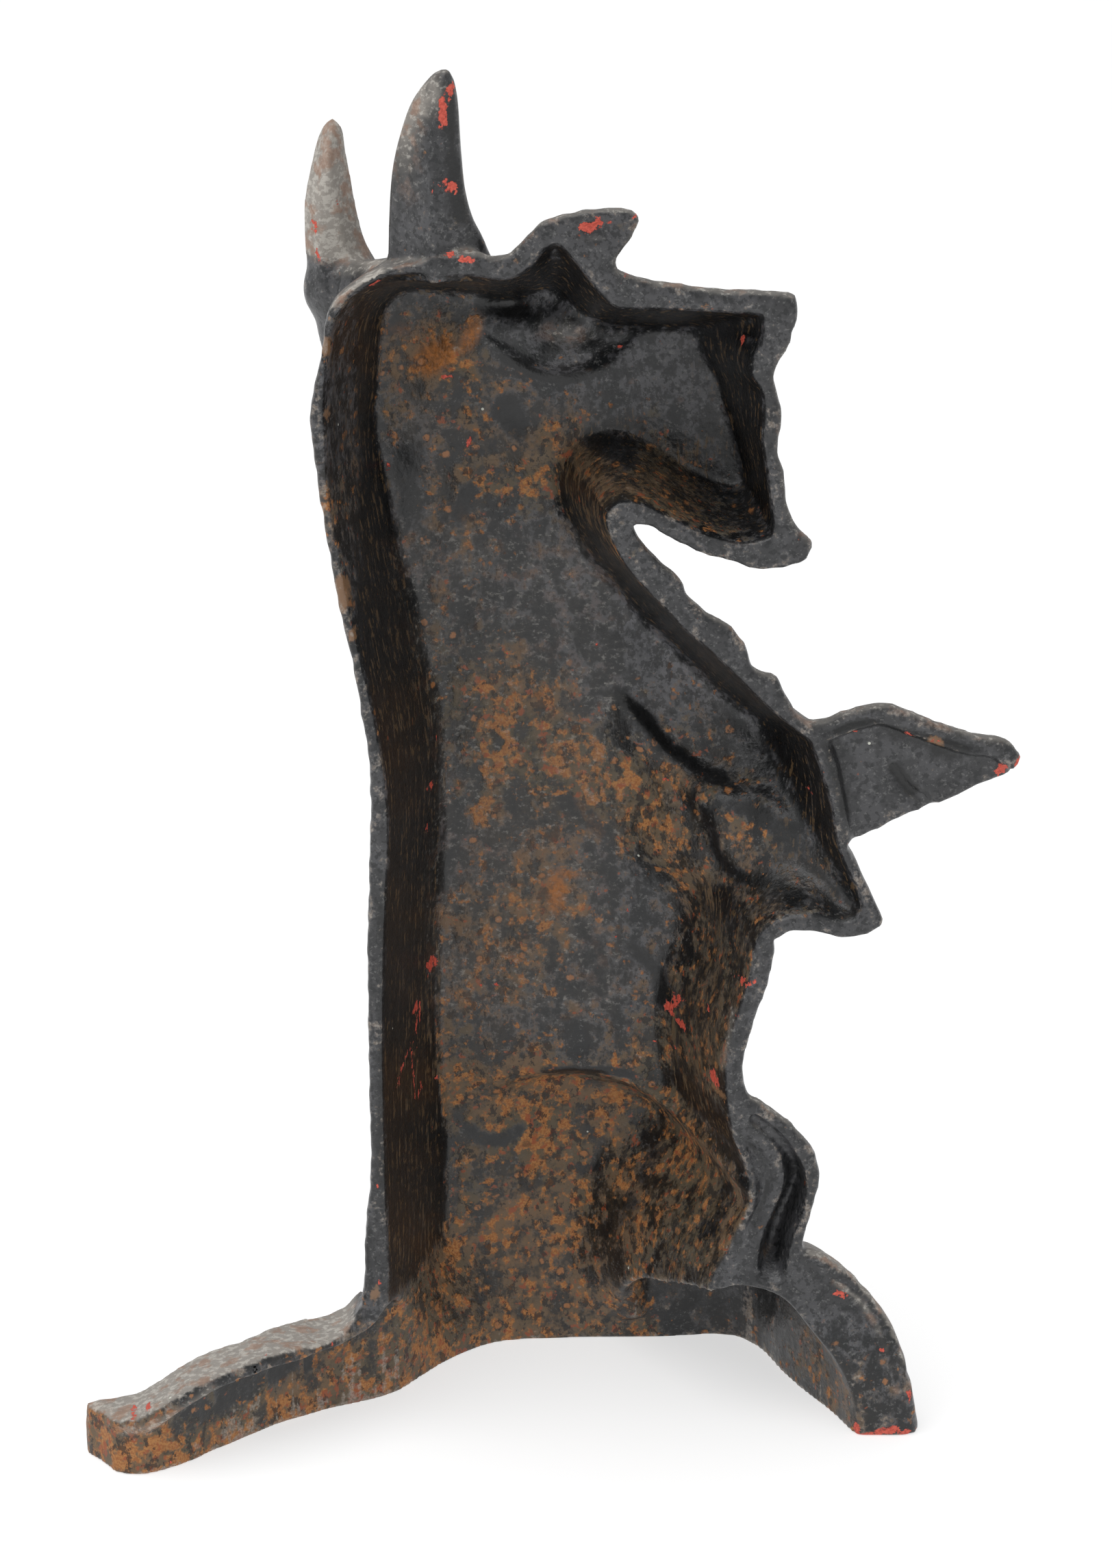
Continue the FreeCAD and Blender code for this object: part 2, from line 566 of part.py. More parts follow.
shells = {
    "skull_shell": [nape_split, (-far, sky), jaw_line, throat_split],
    "muzzle_shell": [throat_split, jaw_line, (far, sky)] + under_jaw[::-1],
    "neck_shell": [nape_split, throat_split] + under_jaw + [chest_out, chest_split, loin_split],
    "torso_shell": [loin_split, chest_split] + armpit + [waist_front, waist_back],
    "foreleg_shell": [chest_split, chest_out, waist_out, waist_front] + armpit[::-1],
    "belly_shell": [waist_back, waist_front, waist_out] + arch[::-1],
    "haunch_shell": arch + floor_line,
}
tail_room = fuse("tail_room", [tail_block, tail_recess])
nodes = [section(label, region) for label, region in shells.items()]
nodes += [
    standing("near_ear", near_horn),
    standing("far_ear", far_horn),
    standing("brow_tuft", tuft_block),
    standing("beard", beard_block),
    standing("upper_paw", upper_block, upper_field, paw_block),
    standing("lower_paw", paw_block, paw_hollow),
    standing("knee_shank", leg_block, channel),
    standing("hind_foot", fuse("foot_block", [foot_wall, instep]), leg_block),
    boolean("Cut", "base_wall", common("base_block", [base_ring, base_side]), tail_room),
]
tail = standing("tail", tail_block, tail_recess)
tip_line = tip_front[0] + d.tip_length - 4.0
TIP_REGION = [(-far, -far), (tip_line, -far), (tip_line, far), (-far, far)]
tip_region = prism("tip_region", TIP_REGION, -overrun, sky, "Z")
nodes += [boolean("Cut", "tail_shell", tail, tip_region), boolean("Common", "tail_tip", tail, tip_region)]
doc.recompute()

faults = [made.Name for made in doc.Objects if "Invalid" in made.State or "Error" in made.State]
for node in nodes:
    if node.Shape.isNull() or not node.Shape.isValid() or len(node.Shape.Solids) != 1:
        faults.append(node.Label)
if faults:
    raise SystemExit("not sound: " + ", ".join(faults))

# ---- the frame: origin on the floor under the middle of the casting's footprint
box = FreeCAD.BoundBox()
for node in nodes:
    node.Label = node.Name
    box.add(node.Shape.optimalBoundingBox(False, False))
for node in nodes:
    node.Placement = FreeCAD.Placement(V(-box.Center.x, -box.Center.y, -box.ZMin), FreeCAD.Rotation())
doc.recompute()

os.makedirs("parts", exist_ok=True)
for node in nodes:
    node.Shape.exportStep(f"parts/{node.Label}.step")
    inside = node.Shape.optimalBoundingBox(False, False)
    lengths = [round(length, 1) for length in (inside.XLength, inside.YLength, inside.ZLength)]
    print(node.Label, round(node.Shape.Volume / 1000, 1), "cm3", lengths)
print("box", [round(v, 2) for v in (box.XMin, box.XMax, box.YMin, box.YMax, box.ZMin, box.ZMax)])
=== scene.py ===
import math
import bpy
import numpy as np
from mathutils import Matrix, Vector


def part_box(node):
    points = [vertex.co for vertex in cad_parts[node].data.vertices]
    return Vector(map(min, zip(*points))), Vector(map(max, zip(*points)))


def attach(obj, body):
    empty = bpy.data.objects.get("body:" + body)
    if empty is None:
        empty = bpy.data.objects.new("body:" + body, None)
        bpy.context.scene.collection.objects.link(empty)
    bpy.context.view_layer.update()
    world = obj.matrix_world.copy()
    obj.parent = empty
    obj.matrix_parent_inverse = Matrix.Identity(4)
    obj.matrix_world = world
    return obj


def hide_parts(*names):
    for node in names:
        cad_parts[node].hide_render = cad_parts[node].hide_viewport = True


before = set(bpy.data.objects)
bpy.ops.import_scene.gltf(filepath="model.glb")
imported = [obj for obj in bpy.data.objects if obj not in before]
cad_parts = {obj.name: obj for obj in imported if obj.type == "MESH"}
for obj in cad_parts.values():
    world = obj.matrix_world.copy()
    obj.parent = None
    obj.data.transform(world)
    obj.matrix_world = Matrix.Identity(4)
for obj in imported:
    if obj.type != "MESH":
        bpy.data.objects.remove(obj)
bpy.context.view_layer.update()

# A begging terrier cast hollow in iron. Lengths are millimetres in the casting's own drawing plane:
# x runs from the tail to the paws, y from the flat rim back to the show side, z up from the floor.
# The solids, the lamps and the camera are in metres.
MM = 0.001
WALL = 4.4             # thickness of the cast wall
STEP = 1.0             # spacing of the grid that the casting is worked out on
TRIANGLES = 190000     # most triangles in the finished casting
EVEN = 1e-5            # how much the thinning of its skin minds long edges
PAW_TIP = 115.0        # x of the upper paw's tip
DEEPEST = 57.0         # the show side lies no further behind the rim than this
NEAR_EAR_FOOT = 303.6  # height where the near ear stands on the crown
FAR_EAR_FOOT = 264.0   # height where the far ear ends inside the skull
FAR_EAR_Y = 31.0       # how far the far ear's middle stands behind the rim
NOTHING = -20.0        # a depth in front of everything, where a form isn't wanted
AWAY = -3.0            # how deep in a chip or a stain the points count that are far from it
ROOM_LIGHT = 0.78      # strength of the white room as a lamp
CAMERA_LENS = 106.85   # focal length
CAMERA_AWAY = 1.081    # metres from the rim's plane to the camera
CAMERA_UP = 0.571      # metres from the floor up to the camera
CAMERA_DOWN = 20       # how many degrees the camera looks down


# ------------------------------------------------ lines and fields
def smooth(edge0, edge1, value):
    t = np.clip((value - edge0) / (edge1 - edge0), 0.0, 1.0)
    return t * t * (3 - 2 * t)


def soft_min(a, b, k):
    t = np.clip(0.5 + 0.5 * (b - a) / k, 0.0, 1.0)
    return b * (1 - t) + a * t - k * t * (1 - t)


def soft_max(a, b, k):
    return -soft_min(-a, -b, k)


def mix(a, b, t):
    return a * (1 - t) + b * t


def stretch(points, spacing=1.6):
    """A smooth line through the points, as evenly spaced samples without its last one."""
    p = np.array(points, float)
    if len(p) == 2:
        count = max(1, int(np.linalg.norm(p[1] - p[0]) / spacing))
        t = np.arange(count)[:, None] / count
        return p[0] * (1 - t) + p[1] * t
    ends = np.vstack([2 * p[0] - p[1], p, 2 * p[-1] - p[-2]])
    out = []
    for a, b, c, e in zip(ends[:-3], ends[1:-2], ends[2:-1], ends[3:]):
        count = max(1, int(np.linalg.norm(c - b) / spacing))
        knots = [0.0]
        for u, v in ((a, b), (b, c), (c, e)):
            knots.append(knots[-1] + max(1e-6, np.linalg.norm(v - u)) ** 0.5)
        t0, t1, t2, t3 = knots
        t = t1 + (t2 - t1) * np.arange(count)[:, None] / count
        a1 = (t1 - t) / (t1 - t0) * a + (t - t0) / (t1 - t0) * b
        a2 = (t2 - t) / (t2 - t1) * b + (t - t1) / (t2 - t1) * c
        a3 = (t3 - t) / (t3 - t2) * c + (t - t2) / (t3 - t2) * e
        b1 = (t2 - t) / (t2 - t0) * a1 + (t - t0) / (t2 - t0) * a2
        b2 = (t3 - t) / (t3 - t1) * a2 + (t - t1) / (t3 - t1) * a3
        out.append((t2 - t) / (t2 - t1) * b1 + (t - t1) / (t2 - t1) * b2)
    return np.vstack(out)


def outline(*stretches):
    """A closed line of smooth stretches that meet at corners, each up to the next one's start."""
    runs = []
    for i, points in enumerate(stretches):
        following = stretches[(i + 1) % len(stretches)][0]
        runs.append(stretch(list(points) + [following]))
    return np.vstack(runs)


def line_distance(line, x, z, closed):
    """Distance from every grid point to a line: inside a closed line positive, outside negative."""
    ends = np.roll(line, -1, axis=0) if closed else line[1:]
    starts = line if closed else line[:-1]
    best = np.full(x.shape, 1e9)
    inside = np.zeros(x.shape, bool)
    for (ax, az), (bx, bz) in zip(starts, ends):
        dx, dz = bx - ax, bz - az
        length = dx * dx + dz * dz + 1e-12
        t = np.clip(((x - ax) * dx + (z - az) * dz) / length, 0.0, 1.0)
        best = np.minimum(best, (x - ax - t * dx) ** 2 + (z - az - t * dz) ** 2)
        if closed and az != bz:
            crosses = (az > z) != (bz > z)
            inside ^= crosses & (x < ax + (z - az) * dx / dz)
    best = np.sqrt(best)
    return np.where(inside, best, -best) if closed else best


def along(points, x):
    """Height of a smooth open line over x: the line runs from left to right."""
    line = stretch(points, 0.8)
    return np.interp(x, line[:, 0], line[:, 1])


def bump(x, z, cx, cz, rx, rz, turn=0.0):
    """A smooth bump of height 1 with radii rx and rz, turned by turn degrees."""
    c, s = math.cos(math.radians(turn)), math.sin(math.radians(turn))
    u = ((x - cx) * c + (z - cz) * s) / rx
    v = (-(x - cx) * s + (z - cz) * c) / rz
    return np.exp(-(u * u + v * v))


def groove(x, z, points, width):
    """A smooth furrow of depth 1 along a line."""
    d = line_distance(stretch(points), x, z, False)
    return np.exp(-((d / width) ** 2))


# ------------------------------------------------ the casting's lines, in its drawing plane
BACK = [
    (-50.5, 33.3), (-49.4, 40), (-49.0, 54), (-47.4, 70), (-47.4, 97), (-47.4, 117), (-47.2, 138),
    (-46.6, 153), (-46.0, 172), (-46.1, 182), (-47.8, 194.6), (-50.0, 209), (-52.6, 221), (-54.7, 234),
    (-57.1, 250), (-58.6, 263), (-59.2, 270.5), (-58.5, 277), (-56.6, 284), (-55.9, 289.5), (-53.8, 298.5)]
CROWN = [(-50.8, 301.4), (-46.5, 304.6), (-40.0, 307.6), (-28, 310.0), (-18.8, 311.6), (-15.2, 310.2),
         (-11.0, 311.0)]
TUFT_TOP = [(-7.7, 314.2), (-3.3, 318.8), (3.4, 320.8), (8.9, 321.6), (14.4, 322.1), (18.2, 321.6)]
TUFT_UNDER = [(19.8, 319.7), (17.3, 313.9), (14.3, 309.6), (14.5, 307.0), (17.0, 305.8)]
SNOUT_TOP = [(20.2, 305.2), (26.3, 303.9), (34.6, 302.8), (40.6, 302.2), (49.7, 301.9)]
NOSE = [(56.6, 301.1), (57.9, 297.3), (56.1, 289.5), (52.7, 283.3), (52.2, 280.5), (54.0, 273.8),
        (54.4, 271.0), (53.5, 265.0), (55.3, 254.9), (56.4, 247.3), (59.8, 241.8)]
BEARD_TIP = [(62.6, 238.6), (60.8, 235), (55.0, 233.1), (49.0, 232.8), (43.0, 234.6), (35.0, 237),
             (27.0, 241.2), (22.0, 243.9)]
CHEST = [(18.8, 244.0), (20.1, 240.3), (25.7, 234.2), (30.7, 229.2)]
LOCKS = [(31.8, 226), (36.2, 221.8), (42.6, 217.7)]
LOCKS_2 = [(46.4, 213.1), (48.4, 207.3), (54.4, 204.4)]
LOCKS_3 = [(56.9, 199), (60.6, 193.9)]
UPPER_PAW_TOP = [(65.4, 193.3), (73.3, 196.4), (81.1, 197.9), (87.6, 195.6), (95.6, 192.4), (101.3, 190.3),
                 (110.7, 188.6)]
UPPER_PAW_UNDER = [(115.2, 184.3), (112.3, 179.4), (104.9, 176), (97.9, 172.2), (86.2, 167.5), (79.2, 163.6)]
FORELEG = [(72.3, 160.8), (76.3, 153), (79, 147), (81.2, 142.6)]
LOWER_PAW = [(82, 140.1), (78.2, 137.4), (71.5, 136.2), (64.5, 137.8), (59, 138)]
BELLY = [(54.7, 135.5), (54.7, 131.3), (53.3, 124), (50.5, 114.8), (48.2, 106.1), (47.3, 98)]
KNEE = [(48.8, 92.9), (53.1, 89.8), (59.8, 84.6), (65, 78.4), (67.3, 71.2), (66.1, 62.8), (63.9, 54.5)]
FOOT = [(63.5, 49.4), (67.3, 48.9), (71.0, 46.6), (74.9, 43.4), (78.8, 39.4), (82.8, 34.8), (86.0, 30.0),
        (88.5, 24.5), (90.3, 18.8), (91.8, 12.8), (93.2, 6)]
TOE = [(94, 0), (94, -20)]
UNDER = [(94, -21), (-120.5, -21)]
TAIL_END = [(-120.5, -20), (-120.5, 13.8)]
TAIL_TOP = [(-119.5, 14.8), (-113, 15.6), (-107, 16.6), (-101, 19.4), (-95, 22.4), (-88, 24.9),
            (-85, 25.6), (-80, 26.6), (-76, 27.6), (-72, 27.6), (-66, 27.5), (-60, 27.3), (-55, 28.4)]
SILHOUETTE = outline(BACK, CROWN, TUFT_TOP, TUFT_UNDER, SNOUT_TOP, NOSE, BEARD_TIP, CHEST, LOCKS, LOCKS_2,
                     LOCKS_3, UPPER_PAW_TOP, UPPER_PAW_UNDER, FORELEG, LOWER_PAW, BELLY, KNEE, FOOT, TOE,
                     UNDER, TAIL_END, TAIL_TOP)

# inner edge of the rim: where the hollow starts
HOLLOW_BACK = [
    (-43.6, -30), (-43.7, 35), (-43.4, 46), (-43.6, 61), (-43.9, 90), (-43.9, 105), (-43.0, 139),
    (-42.2, 155), (-41.9, 167), (-42.5, 177), (-45.1, 195), (-48.4, 211), (-51.4, 227), (-53.3, 239),
    (-55.1, 250), (-55.9, 264), (-56.0, 275), (-55.0, 287), (-53.6, 294)]
HOLLOW_CROWN = [
    (-50.0, 300.4), (-46.0, 303.0), (-39.7, 306.2), (-28.6, 306.5), (-18.1, 305.9), (-11.6, 305.2),
    (-6.4, 308.0), (-2.5, 312.9), (0.3, 313.9), (4.0, 310.4), (7.3, 306.2), (12.6, 299.6)]
HOLLOW_SNOUT = [(14.8, 298.2), (26.3, 297.9), (38, 297.4), (48.6, 296.6)]
HOLLOW_NOSE = [(49.8, 296.5), (49.5, 290), (47.3, 285), (47.2, 281.5), (49.9, 277), (50.3, 272), (50.0, 266),
               (50.7, 260.6), (52.2, 250.4), (53.0, 244.5)]
HOLLOW_JAW = [(52.2, 241.0), (46, 239.4), (38, 241), (31, 244), (25, 247.2), (20, 249.5), (15.5, 249.8),
              (12.2, 247), (12.6, 243)]
HOLLOW_CHEST = [(13.9, 239.5), (17, 233.8), (21.8, 228), (27.4, 222.2), (31.4, 217.7), (36.2, 213.5),
                (41, 209), (45.5, 204.4), (49.9, 199.8), (54, 196), (60, 191)]
HOLLOW_ELBOW = [(63.0, 188.5), (66.0, 180), (68.6, 171), (70.2, 162), (72.5, 155.5), (76.0, 148.0)]
HOLLOW_PAW = [(77.0, 143.6), (74.5, 141.0), (70.0, 140.6), (63.3, 142.3), (57, 141.4), (52.3, 138.4),
              (49.8, 133.5), (48.8, 126)]
HOLLOW_BELLY = [(47.2, 120), (45.4, 114), (43.9, 109), (43.0, 103), (43.1, 97), (43.6, 90), (45.4, 82),
                (48.2, 75), (50.0, 69), (50.0, 63), (46.6, 55), (43.4, 48), (40.4, 42), (38.8, 34)]
HOLLOW_FLOOR = [(38.2, 20), (38.2, -30)]
HOLLOW = outline(
    HOLLOW_BACK, HOLLOW_CROWN, HOLLOW_SNOUT, HOLLOW_NOSE, HOLLOW_JAW, HOLLOW_CHEST, HOLLOW_ELBOW, HOLLOW_PAW,
    HOLLOW_BELLY, HOLLOW_FLOOR)

# where the inside of the shell meets the floor, as depth behind the rim over x
CONTACT = [
    (-121, -15), (-116, -20.5), (-111.7, -26.2), (-107.2, -27.4), (-102.3, -26.0), (-97.3, -22.9),
    (-92.5, -19.0), (-88.4, -14.6), (-84.1, -10.7), (-79.9, -6.6), (-75.7, -2.9), (-71.5, 0.9),
    (-64.9, 5.1), (-59.7, 8.5), (-52.3, 12.0), (-46.5, 15.0), (-41.2, 19.3), (-36.2, 26.4), (-30.9, 33.9),
    (-26.4, 39.1), (-21.0, 43.9), (-16.4, 46.8), (-9.6, 48.6), (0, 49.4), (15, 50.0), (31.3, 50.4),
    (41.4, 51.6), (48.5, 50.6), (53.1, 45.9), (56.1, 40.7), (59.5, 31.5), (64.9, 19.8), (70.2, 10.4),
    (73.7, 3.2), (77.2, -4.6), (79, -6.0), (86.5, -6.4), (92, -5.2), (96, -3)]
TAIL_FRONT = [(-121, -15), (-117, -19.5), (-112.4, -25.6), (-107, -27.2), (-100, -26.6), (-92, -24.3),
              (-84, -20.6), (-77, -17.4), (-70, -13.4), (-63, -9.4), (-56, -4.8), (-51, -1.2), (-47, 0)]
LEDGE = [(14, 16), (18, 23), (23.6, 29.0), (28.4, 31.5), (34.7, 35.5), (40.3, 38.0), (46.8, 39.5), (53, 38.8),
         (59.2, 36), (65.6, 29), (72.1, 21.5), (77.1, 13), (79.7, 5.5), (81, -2), (83, -14)]
# lower edge of the rim and of the tail's flange, where the recess under it starts
LIP = [(-121, 8.5), (-113, 9.5), (-107, 10.6), (-101, 13.6), (-95, 17.0), (-88, 20.2), (-80, 22.3),
       (-72, 23.3), (-66, 23.7), (-60, 24.3), (-53, 25.2), (-48.4, 27.2), (-45.6, 30.0), (-44.2, 34)]
NEAR_EAR = outline(
    [(-43.0, 300), (-42.9, 312), (-42.2, 326), (-41.0, 333), (-38.9, 340), (-36.0, 346.7), (-32.8, 351),
     (-28.9, 354.6)],
    [(-26.4, 355.4), (-24.7, 354.8), (-23.3, 352.4), (-22.2, 347), (-21.3, 334), (-20.3, 325),
     (-18.6, 319), (-15.5, 313), (-12, 300)])
FAR_EAR = outline(
    [(-50, 262), (-54, 270), (-57.2, 278), (-59.4, 288), (-60.8, 298), (-61.5, 311), (-61.2, 318),
     (-59.6, 326), (-57.4, 334), (-55.4, 337.2)],
    [(-53.8, 338.0), (-51.6, 335.5), (-50.8, 330), (-49.6, 323), (-48.4, 315.5), (-46.6, 308), (-42, 298),
     (-38, 262)])


# ------------------------------------------------ depths behind the rim, over the drawing plane
def blend(x, z, places, reach, rest):
    """A value that is each place's own near it and passes smoothly between them. A place is (x, z, value)."""
    total = np.full(x.shape, 1e-4)
    value = np.full(x.shape, rest * 1e-4)
    for cx, cz, v in places:
        w = np.exp(-((x - cx) ** 2 + (z - cz) ** 2) / (2 * reach * reach))
        total += w
        value += w * v
    return value / total


FLOORS = [
    (-34, 290, 38), (-6, 288, 38), (20, 287, 35), (39, 282, 32), (-36, 262, 41), (-8, 262, 41), (18, 264, 37),
    (38, 260, 32), (28, 250, 31), (-30, 235, 44), (-2, 235, 44), (12, 240, 41), (-26, 205, 45), (0, 205, 45),
    (26, 203, 44), (46, 190, 42), (-22, 165, 46), (4, 165, 46), (24, 170, 44), (38, 158, 38), (52, 154, 27),
    (67, 149, 12), (58, 146, 14), (48, 147, 24), (-20, 125, 46), (8, 125, 46), (30, 126, 44), (41, 118, 40),
    (-20, 95, 45), (6, 97, 44), (28, 98, 42), (-22, 62, 49), (0, 62, 50), (24, 58, 49), (-20, 22, 50),
    (5, 16, 50), (34, 10, 51)]
LOBE = outline(
    [(31, 166), (43.9, 167.0), (56.5, 165.3), (65.3, 158.4), (72.4, 151.7)],
    [(76.3, 144.0), (65.4, 143.0), (54.8, 143.5), (46.8, 143.6), (41.3, 149.5), (38.1, 157.2), (33, 162)])
SLOPES = [
    (-50, 60, 4.0), (-50, 110, 4.1), (-50, 160, 4.1), (-55, 215, 4.2), (-60, 255, 4.2), (-57, 285, 3.6),
    (-45, 305, 3.0), (-22, 310, 2.9), (0, 314, 2.7), (14, 305, 2.6), (35, 300, 2.7), (50, 294, 2.9),
    (52, 275, 3.2), (54, 252, 3.2), (48, 240, 7.0), (38, 241, 9.0), (29, 243, 9.0), (20, 249, 6.0),
    (13, 247, 3.0), (16, 236, 3.2), (34, 216, 3.3), (52, 199, 3.3), (64, 184, 3.4), (71, 164, 3.0),
    (78, 146, 2.4), (64, 141, 2.4), (51, 136, 3.0), (46, 115, 3.4), (43, 98, 3.0), (46, 82, 2.9),
    (50, 68, 2.6), (48, 58, 2.5), (43, 48, 2.05), (39, 36, 1.8), (38, 20, 1.75), (-15, 100, 4.0),
    (0, 200, 4.0)]


def hollow_depth(x, z, d_hollow, slope):
    """Depth of the hollow's surface, from its inner rim line to its floor, with the forms pressed into it."""
    floor = blend(x, z, FLOORS, 11.0, 45.0)
    # cheek with the eye on it, the socket behind the eye and the temple
    cheek_line = [(-13.5, 279), (-8, 274.5), (0, 272.5), (8, 274), (16, 279.5)]
    cheek = line_distance(stretch(cheek_line), x, z, False)
    above = z > np.interp(x, [-30, -13.5, -8, 0, 8, 16, 30], [292, 279, 274.5, 272.5, 274, 279.5, 292])
    swell = np.where(above, smooth(-2.5, 2.5, cheek), smooth(2.5, -2.5, cheek))
    floor = floor - 4.2 * swell * bump(x, z, 1, 281, 17, 14)
    for height, *place in ((-5.5, 4, 286, 7.5, 5.5), (5.5, -11.5, 290.5, 5.5, 4.0, 20),
                           (-2.0, -24, 279, 9, 4, 55), (-2.5, 39, 283, 4.0, 4.5)):
        floor = floor + height * bump(x, z, *place)
    # jaw line: a low ridge that runs from the throat towards the chin
    floor = floor - 3.0 * groove(x, z, [(8, 249.5), (15, 247.5), (28, 243), (40, 238)], 3.4)
    floor = floor - 2.2 * bump(x, z, -2, 250, 14, 5, -6)
    # foreleg: a lobe that starts at a soft ridge and comes forward towards the paw
    upper = np.interp(x, [8, 17, 23.5, 29, 36.5, 44, 51, 57, 63.5, 70],
                      [191, 185.4, 179, 172.6, 168.4, 167.2, 166.7, 165.4, 162, 157])
    fall = upper - z
    floor = floor - (3.6 * smooth(-3.0, 2.5, fall) * smooth(22, 4, fall)
                     * smooth(10, 22, x) * smooth(50, 36, x))
    fist = line_distance(LOBE, x, z, True)
    floor = floor - 2.2 * smooth(-2.5, 4.0, fist) * smooth(30, 44, x) - 1.6 * smooth(-2.0, 2.5, fist)
    # stomach fold and haunch arch
    arch = along([(-40, 62), (-26, 70), (-18, 73.5), (-11.7, 75.6), (-5, 77.8), (1.6, 79.0), (8, 79.8),
                  (13.3, 79.9), (20, 78.2), (25, 75.4), (30.9, 69), (38, 60), (46, 50)], x)
    floor = floor + 3.6 * smooth(2.2, -4.0, z - arch) * smooth(-30, 4, x)
    floor = floor - 1.8 * np.exp(-((z - arch - 3.0) / 3.6) ** 2) * smooth(-26, 8, x)
    # the ridge that comes forward from the arch to the knee
    crest = [(14, 79.5, 44.5), (20, 78.2, 42.5), (26.5, 75.6, 37), (32.9, 73, 29), (39.2, 70.8, 18),
             (45.4, 68, 7.5), (50, 66.3, 1)]
    ridge = line_distance(stretch([c[:2] for c in crest]), x, z, False)
    height = np.interp(x, [c[0] for c in crest], [c[2] for c in crest])
    floor = soft_min(floor, height + 2.3 * ridge, 6.0)
    # slow waviness of the sand face
    floor = floor + 0.5 * np.sin(x * 0.16 + 1.7 * np.sin(z * 0.05)) * np.cos(z * 0.11 + 0.6)
    floor = floor + 0.35 * np.sin(x * 0.37 + z * 0.13) * np.sin(z * 0.23 - x * 0.09)
    wall = soft_max(0.0, slope * d_hollow, 3.0)
    wall = mix(wall, soften(wall, 8), smooth(1.5, 5.0, d_hollow))
    y = soft_min(floor, wall, np.interp(z, [215, 245], [15.0, 7.0]))
    return mix(y, soften(y, 1), smooth(1.5, 4.0, d_hollow)), floor


def front_depth(x, z, d_shape, d_hollow, slope):
    """Depth of the surface on the rim's side, all over the plane."""
    y, floor = hollow_depth(x, z, d_hollow, slope)
    # the paw in front: a plate just behind the rim line, with its raised edge along the top
    paw = smooth(60, 67, x) * smooth(154, 160, z)
    edge = line_distance(stretch(UPPER_PAW_TOP + UPPER_PAW_UNDER[:1]), x, z, False)
    shoulder_line = [(60, 192), (65.5, 184), (68, 174), (70, 164), (71, 157)]
    shoulder = line_distance(stretch(shoulder_line), x, z, False)
    y = y + 3.0 * paw * smooth(4.3, 6.3, edge) * smooth(2.0, 4.5, shoulder) * smooth(0.0, 2.0, -d_hollow)
    y = y + 1.1 * groove(x, z, [(66.6, 190.7), (71.5, 193.0), (76.5, 194.1), (81.4, 194.1), (86.4, 192.0),
                                (93.9, 190.1), (101.4, 187.5), (107, 185.4)], 0.9)
    y = y + 1.6 * groove(x, z, [(83.6, 180.6), (85.9, 176.6), (89.5, 173.4), (94.6, 169.7)], 1.3)
    # brow tuft: a shallow dish
    y = y + 1.8 * bump(x, z, 9, 317.0, 5.0, 2.4, 8) * smooth(1.5, 3.0, d_shape) * smooth(1.0, 2.5, -d_hollow)
    # shank: a channel between the outer rim and an inner ridge
    channel_line = [(50.5, 86.5), (55.0, 82.5), (59.2, 76.5), (61.2, 69.5), (60.0, 62), (57.4, 54.5),
                    (55.6, 47), (55.2, 41)]
    channel = line_distance(stretch(channel_line), x, z, False)
    half_width = np.interp(z, [60, 84], [4.0, 2.0])
    y = y + (2.2 + 9.6 * smooth(84, 58, z)) * smooth(half_width, 0.8, channel) * smooth(39, 50, z)
    y = y + 1.1 * groove(x, z, [(47.3, 80.8), (51.4, 76.4), (53.9, 71.1), (54.0, 65.8), (52.0, 60.4),
                                (49.3, 55.6)], 1.5)
    y = y + 1.0 * groove(x, z, [(71.3, 42.6), (77.8, 38.0), (83.7, 29.9), (86.6, 21.8), (88.6, 11.9)], 1.2)
    inner_ridge = smooth(2, 6, z - 38) * smooth(88, 76, z) * smooth(61, 57, x) * smooth(44, 49, x)
    y = y + 1.8 * inner_ridge * smooth(0.8, 3.0, channel) * smooth(0.0, 2.0, -d_hollow)
    # foot: its face comes forward of the rim towards the floor
    y = y - 6.2 * smooth(52, 70, x) * smooth(46, 4, z) * smooth(-1, 2, -d_hollow)
    # under the ledge and the haunch, the surface goes back to the line where it meets the floor
    contact = along(CONTACT, x)
    ledge = along(LEDGE, x)
    depth = np.interp(x, [14, 22, 30, 45, 60, 80], [14, 6, 2.2, 2.6, 7, 9])
    y = mix(y, np.maximum(contact, y), smooth(ledge + 0.6, ledge - depth, z) * smooth(12, 26, x))
    y = mix(y, np.maximum(contact, y), smooth(9, 3, z) * smooth(-30, -16, x))
    y = mix(y, contact + 0.25 * z, smooth(8, 3, z) * smooth(-30, -16, x) * smooth(50, 36, x))
    # at the back the wall flares into the tail, under the rim's lower end
    fade = np.interp(x, [-44.5, -41, -34, -10], [3.5, 12, 32, 30])
    start = np.interp(x, [-44.5, -34, -10], [34, 36, 30])
    y = mix(y, contact, smooth(start, start - fade, z) * smooth(24, 15, x) * smooth(-45.2, -44.4, x))
    tail_front = along(TAIL_FRONT, x)
    lip = along(LIP, x)
    tail = mix(tail_front, np.maximum(contact, tail_front), smooth(lip + 0.8, lip - 1.2, z))
    tail = tail + 0.9 * bump(x, z, -112, 8, 5, 5)
    y = mix(y, tail, smooth(-44.0, -45.0, x) * smooth(lip + 8.0, lip + 5.0, z))
    return y, floor


def thicken(front, amount):
    """The far side of a wall of even thickness behind a surface."""
    reach = int(amount / STEP)
    padded = np.pad(front, reach, mode="edge")
    back = np.full(front.shape, -1e3)
    for i in range(-reach, reach + 1):
        for j in range(-reach, reach + 1):
            rest = amount ** 2 - (i * i + j * j) * STEP ** 2
            if rest >= 0:
                part = padded[reach + i:reach + i + front.shape[0], reach + j:reach + j + front.shape[1]]
                back = np.maximum(back, part + math.sqrt(rest))
    return back


